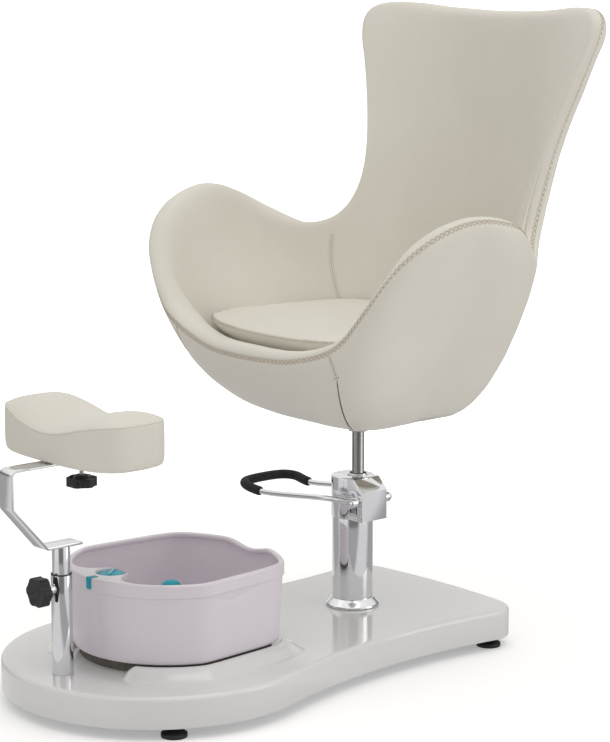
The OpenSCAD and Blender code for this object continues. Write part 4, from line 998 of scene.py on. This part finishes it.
bath_shape += [(.93, BATH_WALL, BATH_SKIRT + .006, 0), (.90, BATH_WALL, BATH_SKIRT + .002, 0),
               (.88, BATH_WALL, bath_low.z + .008, 0), (.86, BATH_WALL, bath_low.z + BATH_WALL, 0),
               (.70, BATH_WALL, bath_low.z + BATH_WALL, 0)]
bath_rings = np.array([bath_ring(*s) for s in bath_shape])
bath = ring_piece("bath_finish", bath_rings, "bath_plastic", "bath", sharp=60, ends=True)

# A dark ring under the skirt: painted shadow in the gap between the bath and the base.
gap_shadow_line = bath_ring(0.886, 0, 0)[:, :2]
gap_shadow_rings = np.array([level(gap_shadow_line, z) for z in (bath_low.z + 0.0006, BATH_SKIRT - 0.001)])
ring_piece("bath_gap_shadow", gap_shadow_rings, "shadow_line", "bath")

# The dial turns in a round pocket of the tongue
DIAL_R, POCKET_R, POCKET_Z = 0.0268, 0.0300, BATH_TOP - 0.0115
dial_mid = np.array([0, middle("bath_dial").y, 0])
pocket = rounded([(0.0, POCKET_Z), (POCKET_R - 0.001, POCKET_Z), (POCKET_R, BATH_TOP - 0.002),
                  (POCKET_R + 0.0025, BATH_TOP + 0.001), (POCKET_R + 0.0025, BATH_TOP + 0.01),
                  (0.0, BATH_TOP + 0.01)], 0.0008, 2)
cut_away(bath, lathe("pocket_cutter", pocket, dial_mid, "bath_plastic", "bath", sides=72))
tidy(bath, 42, False)
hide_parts("foot_bath", "bath_tray")

# Rigid parts with rounded edges

for width, names in ((0.0006, ("pump_tube", "outer_post", "post_bush", "clamp_boss", "inner_post")),
                     (0.0007, ("footrest_bar",)), (0.001, ("massage_column",)),
                     (0.0012, ("foot_pad_1", "foot_pad_2", "foot_pad_3", "foot_pad_4")),
                     (0.0007, ("pivot_bolts",)), (0.001, ("seat_hub", "seat_plate")),
                     (0.0005, ("pivot_shaft",))):
    for node in names:
        bevelled(node, width)

LOBE_FROM, LOBE_WIDE, LOBE_POWER, KNOB_EDGE = 0.6, 0.4, 0.45, 0.0028


def shallow_lobes(node, keep=1.0):
    """Knob whose lobes are filled out towards its rim, kept to a share of its height below the top."""
    made = bevelled(node, KNOB_EDGE)
    low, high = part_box(node)
    size = np.array(high - low)
    axle = int(np.argmin(size))
    across = [k for k in range(3) if k != axle]
    centre, rim_r = np.array(middle(node)), size[across].max() / 2
    for corner in made.data.vertices:
        flat = np.array(corner.co)[across] - centre[across]
        r = np.linalg.norm(flat)
        t = (r / rim_r - LOBE_FROM) / LOBE_WIDE
        if 0 < t < 1:
            flat = flat * rim_r * (LOBE_FROM + LOBE_WIDE * t ** LOBE_POWER) / r
        for k, value in zip(across, flat):
            corner.co[k] = centre[k] + value
        if axle == 2:
            corner.co.z = high.z - keep * (high.z - corner.co.z)
    tidy(made, 35, False)


knob_low, knob_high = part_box("pad_knob")
knob_h = knob_high.z - knob_low.z
knob_foot = min(knob_high.z - 0.8 * knob_h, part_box("pad_stud")[0].z - 0.002)
shallow_lobes("clamp_knob")
shallow_lobes("pad_knob", (knob_high.z - knob_foot) / knob_h)

# The cap and its box stand a little higher than their CAD nodes; the pivot's height stays
CAP_LIFT, HOLE_LOW, HOLE_HIGH, BOX_FRONT, BOX_LIFT = 0.012, 0.3055, 0.3185, 0.055, 1.15
CAP_LOW, CAP_HIGH = (corner.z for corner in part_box("pump_cap"))
cap = bevelled("pump_cap", 0.0012)
for corner in cap.data.vertices:
    z = corner.co.z
    if z > HOLE_HIGH:
        corner.co.z += CAP_LIFT * (1 if corner.co.x > BOX_FRONT else (z - HOLE_HIGH) / (CAP_HIGH - HOLE_HIGH))
    elif z < HOLE_LOW:
        corner.co.z += BOX_LIFT * CAP_LIFT * (HOLE_LOW - z) / (HOLE_LOW - CAP_LOW)
bevelled("ram", 0.001, look="ground_steel")
ram_r, bore_r = 0.0127, (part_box("ram_seal")[1].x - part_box("ram_seal")[0].x) / 2
CAP_TOP, ram_axis = CAP_HIGH + CAP_LIFT, (0, middle("ram").y, 0)
seal = lathe("seal_finish", rounded([(ram_r, CAP_TOP - 0.010), (ram_r + 0.0045, CAP_TOP - 0.010),
                                     (ram_r + 0.0045, CAP_TOP + 0.0025), (ram_r + 0.0002, CAP_TOP + 0.0035),
                                     (ram_r, CAP_TOP)], 0.0008), ram_axis, "black_rubber", "base")
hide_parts("ram_seal")
lathe("seal_ring", rounded([(ram_r + 0.0047, CAP_TOP - 0.003), (ram_r + 0.0047, CAP_TOP + 0.0030),
                            (ram_r + 0.0065, CAP_TOP + 0.0030), (bore_r, CAP_TOP + 0.0012),
                            (bore_r + 0.0030, CAP_TOP + 0.0010), (bore_r + 0.0032, CAP_TOP - 0.001)], 0.0008),
      ram_axis, "chrome", "base")

# The spring is a copy of its CAD node with a mesh of its own; the real spring shortens as the plunger goes
# down on it
spring = cad_copy("plunger_spring", "spring_finish")
stand_for(spring, "plunger_spring")
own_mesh(spring)

# Dial, tab and dome of the bath

GRIP_TURN, GRIP_R, GRIP_SHARE, HIGHLIGHT_R, TICK_R = 128, 0.0042, 0.86, 0.0007, 0.0006
TICKS, TICK_IN, TICK_OUT = 10, 0.0238, 0.0252
dial = lathe("dial_finish", rounded([(0.0, POCKET_Z + 0.0004), (DIAL_R, POCKET_Z + 0.0004),
                                     (DIAL_R, POCKET_Z + 0.0070), (DIAL_R - 0.0030, POCKET_Z + 0.0086),
                                     (0.0, POCKET_Z + 0.0094)], 0.0009),
             dial_mid, "teal_plastic", "dial", sides=72)
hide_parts("bath_dial")
at = np.linspace(-1, 1, 25)
grip_way = [*direction(GRIP_TURN), 0]
ridge = dial_mid + np.outer(GRIP_SHARE * DIAL_R * at, grip_way) + (POCKET_Z + 0.0080) * UP
tube("dial_grip", ridge, GRIP_R * np.sqrt(np.maximum(0.02, 1 - at ** 6)), "teal_plastic", "dial", sides=16)
# A pale line along the crest of the grip: painted highlight.
tube("dial_grip_highlight", ridge[3:-3] + 0.00425 * UP, HIGHLIGHT_R, "grip_highlight", "dial", sides=6)
for k in range(TICKS):
    way = [*direction(36 * k + 18), 0]
    tick = dial_mid + np.outer([TICK_IN, TICK_OUT], way) + (POCKET_Z + 0.0089) * UP
    tube("dial_tick_%d" % (k + 1), tick, TICK_R, "shadow_line", "dial", sides=6)

TAB_MID, TAB_HALF, TAB_EDGE, TAB_LOW = 0.009, 0.0055, 0.0004, BATH_TOP - 0.0215
tab_y = middle("bath_tab").y
tab_back, tab_front, tab_inside = tab_y + 0.014, tab_y - 0.0062, tab_y - 0.0030
tab_section = rounded([(tab_back, BATH_TOP - 0.004), (tab_back, BATH_TOP + 0.0012),
                       (tab_front, BATH_TOP + 0.0012), (tab_front, TAB_LOW), (tab_inside, TAB_LOW),
                       (tab_inside, BATH_TOP - 0.004), (tab_back, BATH_TOP - 0.004)], 0.0012, 3)[:-1]
slices = np.array([np.column_stack([np.full(len(tab_section), TAB_MID + x), tab_section])
                   for x in (-TAB_HALF, -TAB_HALF + TAB_EDGE, TAB_HALF - TAB_EDGE, TAB_HALF)])
tab = ring_piece("tab_finish", slices, "teal_plastic", "bath", ends=True)
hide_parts("bath_tab")

DOME_R, DOME_RISE, DOME_EDGE, DOME_BACK = 0.021, 0.0215, 0.003, 0.009
dome_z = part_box("massage_dome")[0].z
dome_profile = [(0.0, dome_z)]
for a in range(0, 91, 6):
    c, s = direction(a)
    dome_profile.append((DOME_R * c ** 0.8, dome_z + DOME_EDGE + (DOME_RISE - DOME_EDGE) * s))
dome_mid = (0.0, middle("massage_dome").y + DOME_BACK, 0.0)
dome = lathe("dome_finish", dome_profile, dome_mid, "teal_plastic", "bath", sides=64)
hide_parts("massage_dome")

flange_low, flange_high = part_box("pump_flange")
flange_r, FLANGE_BORE = (flange_high.x - flange_low.x) / 2, 0.0423
flange = lathe("flange_finish", rounded([(FLANGE_BORE, flange_low.z), (flange_r, flange_low.z),
                                         (flange_r, flange_low.z + 0.0045), (0.047, flange_high.z - 0.004),
                                         (0.0440, flange_high.z), (FLANGE_BORE, flange_high.z)], 0.0025),
               (0, AXIS[1], 0), "chrome", "base")
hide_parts("pump_flange")

# Pedal: two chrome rods that meet in a foam grip

PIVOT_X, PIVOT_Z = 0.050, 0.312
PIVOT = np.array([PIVOT_X, 0, PIVOT_Z]) + AXIS
ROD_R, ROD_HALF, ROD_SHOW, REACH_OUT = 0.006, 0.068, 0.222, 0.282
BOX_HALF, SHAFT_R, FOAM_R = 0.034, 0.006, 0.010
BOSS_GAP, BOSS_R, BOSS_LONG, BOSS_SIDES = 0.0003, 1.75 * SHAFT_R, 3 * SHAFT_R, 48


def pedal_side(side):
    return [[0.92 * PIVOT_X, side * (BOX_HALF + 1.4 * ROD_R), PIVOT_Z],
            [0.2 * PIVOT_X, side * ROD_HALF, PIVOT_Z + ROD_R],
            [0.2 * PIVOT_X - ROD_SHOW, side * ROD_HALF, PIVOT_Z - 2.8 * ROD_R],
            [-0.93 * REACH_OUT, side * ROD_HALF, PIVOT_Z - 1.8 * ROD_R],
            [-REACH_OUT, side * 0.74 * ROD_HALF, PIVOT_Z - 1.5 * ROD_R]]


knots = np.array(pedal_side(-1) + pedal_side(1)[::-1]) + AXIS
rod = spline(knots, 2 * knots[0] - knots[1], 2 * knots[9] - knots[8], 20)
pedal = tube("pedal_rods", rod, ROD_R, "chrome", "pedal", sides=24)
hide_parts("pedal_frame")
boss_profile = rounded([(0.0, 0.0), (BOSS_R, 0.0), (BOSS_R, BOSS_LONG), (0.0, BOSS_LONG)], 0.0012)
c, s = circle(BOSS_SIDES)
for side, tag in ((-1, "front"), (1, "rear")):
    near = side * (BOX_HALF + BOSS_GAP)
    rings = np.array([PIVOT + np.stack([r * c, np.full(BOSS_SIDES, near + side * h), r * s], 1)
                      for r, h in boss_profile])
    ring_piece("pedal_boss_" + tag, rings, "chrome", "pedal", sharp=30)
grip_path = rod[40:141]
swell = np.interp(np.linspace(0, 1, len(grip_path)), [0, 0.006, 0.02, 0.98, 0.994, 1],
                  [0.7, 0.93, 1, 1, 0.93, 0.7])
grip = tube("pedal_grip_foam", grip_path, FOAM_R * swell, "black_foam", "pedal", sides=24)
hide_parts("pedal_grip")

# Every CAD node that stays gets the look of its slot

for name, item in nodes.items():
    look = MATERIALS[SLOT_OF[name]]
    if not item.material_slots:
        item.data.materials.append(look)
    for place in item.material_slots:
        place.material = look

# Floor, backdrop and lights

FLOOR_HALF, FADE_FROM, FADE_TO, FLOOR_GLOW = 60, 0.8, 3.2, 0.32
SKY_STRENGTH = 0.81
SECTORS, SECTOR_TURN, SECTOR_SOFT = 3, 20, 0.5
WHITE = (1, 1, 1, 1)


def sectors(tree, place, low, high):
    """Light and dark sectors round the vertical axis, as a studio's walls and screens make them."""
    parts = add_node(tree, "SeparateXYZ", {"Vector": place}).outputs
    angle = add_node(tree, "Math", {0: parts["Y"], 1: parts["X"]}, operation="ARCTAN2").outputs["Value"]
    scaled = add_node(tree, "Math", {0: angle, 1: SECTORS, 2: math.radians(SECTOR_TURN)},
                      operation="MULTIPLY_ADD").outputs["Value"]
    wave = add_node(tree, "Math", {0: scaled}, operation="SINE").outputs["Value"]
    return add_node(tree, "MapRange", {"Value": wave, "From Min": -SECTOR_SOFT, "From Max": SECTOR_SOFT,
                                       "To Min": low, "To Max": high},
                    interpolation_type="SMOOTHSTEP").outputs["Result"]


def mix_shaders(tree, share, first, second, output):
    """Sends the mix of two shaders to the tree's output."""
    mixed = add_node(tree, "MixShader", {"Fac": share, 1: first, 2: second})
    tree.links.new(mixed.outputs["Shader"], tree.nodes[output].inputs["Surface"])


# The floor shows the object's shadow, fades to white around it, and gives mirrors light and dark sectors
ground = bpy.data.meshes.new("floor")
ground.from_pydata([(x * FLOOR_HALF, y * FLOOR_HALF, 0) for x, y in ((-1, -1), (1, -1), (1, 1), (-1, 1))], [],
                   [(0, 1, 2, 3)])
floor = bpy.data.objects.new("floor", ground)
floor_look = material("floor_white", (0.88, 0.88, 0.88), 0.6, spread=0.008, scale=1, specular=0.15)
floor.data.materials.append(floor_look)
tree = floor_look.node_tree
shader = tree.nodes["Principled BSDF"]
spot = add_node(tree, "TexCoord").outputs["Object"]
distance = add_node(tree, "VectorMath", {0: spot}, operation="LENGTH").outputs["Value"]
fade = add_node(tree, "MapRange", {"Value": distance, "From Min": FADE_FROM, "From Max": FADE_TO,
                                   "To Min": FLOOR_GLOW, "To Max": 1.0},
                interpolation_type="SMOOTHSTEP").outputs["Result"]
ray = add_node(tree, "LightPath").outputs
glow = add_node(tree, "Math", {0: fade, 1: ray["Is Camera Ray"]}, operation="MULTIPLY").outputs["Value"]
set_inputs(tree, shader, {"Emission Color": WHITE, "Emission Strength": glow})
mirrored = add_node(tree, "Emission", {"Color": (1.0, 0.99, 0.985, 1),
                                       "Strength": sectors(tree, spot, 0.40, 0.74)})
mix_shaders(tree, ray["Is Glossy Ray"], shader.outputs["BSDF"], mirrored.outputs["Emission"],
            "Material Output")
scene.collection.objects.link(floor)

# The world is white to the camera, a soft sky to the object, and a studio with sectors to mirrors
world = bpy.data.worlds.new("studio")
scene.world = world
world.use_nodes = True
tree = world.node_tree
ray = add_node(tree, "LightPath").outputs
place = add_node(tree, "TexCoord").outputs["Generated"]
height = add_node(tree, "SeparateXYZ", {"Vector": place}).outputs["Z"]
sky = add_node(tree, "ValToRGB", {"Fac": height})
set_ramp(sky, (0.0, 1.0), ((0.66, 0.65, 0.64), (1.0, 0.985, 0.96)))
high_up = add_node(tree, "MapRange", {"Value": height, "From Min": 0.2, "From Max": 0.4, "To Min": 0.0,
                                      "To Max": 1.0}).outputs["Result"]
studio = add_node(tree, "Mix", {"Factor": high_up, "A": sectors(tree, place, 0.35, 1.5), "B": 1.35},
                  data_type="FLOAT").outputs["Result"]
shiny = add_node(tree, "Mix", {"Factor": ray["Is Glossy Ray"], "A": 1.0, "B": studio},
                 data_type="FLOAT").outputs["Result"]
strength = add_node(tree, "Math", {0: shiny, 1: SKY_STRENGTH}, operation="MULTIPLY").outputs["Value"]
back = tree.nodes["Background"]
set_inputs(tree, back, {"Color": sky.outputs["Color"], "Strength": strength})
white = add_node(tree, "Background", {"Color": WHITE, "Strength": 1.0})
mix_shaders(tree, ray["Is Camera Ray"], back.outputs["Background"], white.outputs["Background"],
            "World Output")

for name, where, target_z, size, power, tint in (
        ("key", (-1.6, -3.4, 3.6), 0.6, (2.4, 2.4), 3, (1.0, 0.99, 0.97)),
        ("top", (0.6, 0.2, 4.2), 0.4, (3.4, 3.4), 29, (1.0, 0.99, 0.97)),
        ("side", (3.4, 2.6, 1.2), 0.4, (1.8, 2.0), 20, (1, 1, 1))):
    lamp = bpy.data.lights.new(name, "AREA")
    lamp.shape = "RECTANGLE"
    lamp.size, lamp.size_y = size
    lamp.energy = power
    lamp.color = tint
    made = bpy.data.objects.new(name, lamp)
    made.location = where
    made.rotation_euler = (Vector(where) - Vector((0, 0, target_z))).to_track_quat("Z", "Y").to_euler()
    scene.collection.objects.link(made)

# Camera at the photograph's angle

CAMERA = Vector((3.6795, -3.3399 + AXIS[1], 1.4727))
TURN, PITCH, FOCAL, SENSOR = math.radians(48.9026), math.radians(10.2603), 120.0, 36
lens = bpy.data.cameras.new("camera")
lens.lens = FOCAL
lens.sensor_width = SENSOR
camera = bpy.data.objects.new("camera", lens)
scene.collection.objects.link(camera)
camera.location = CAMERA
back_way = Vector((math.sin(TURN) * math.cos(PITCH), -math.cos(TURN) * math.cos(PITCH), math.sin(PITCH)))
camera.rotation_euler = (-back_way).to_track_quat("-Z", "Y").to_euler()
scene.camera = camera
scene.view_settings.view_transform = "Standard"
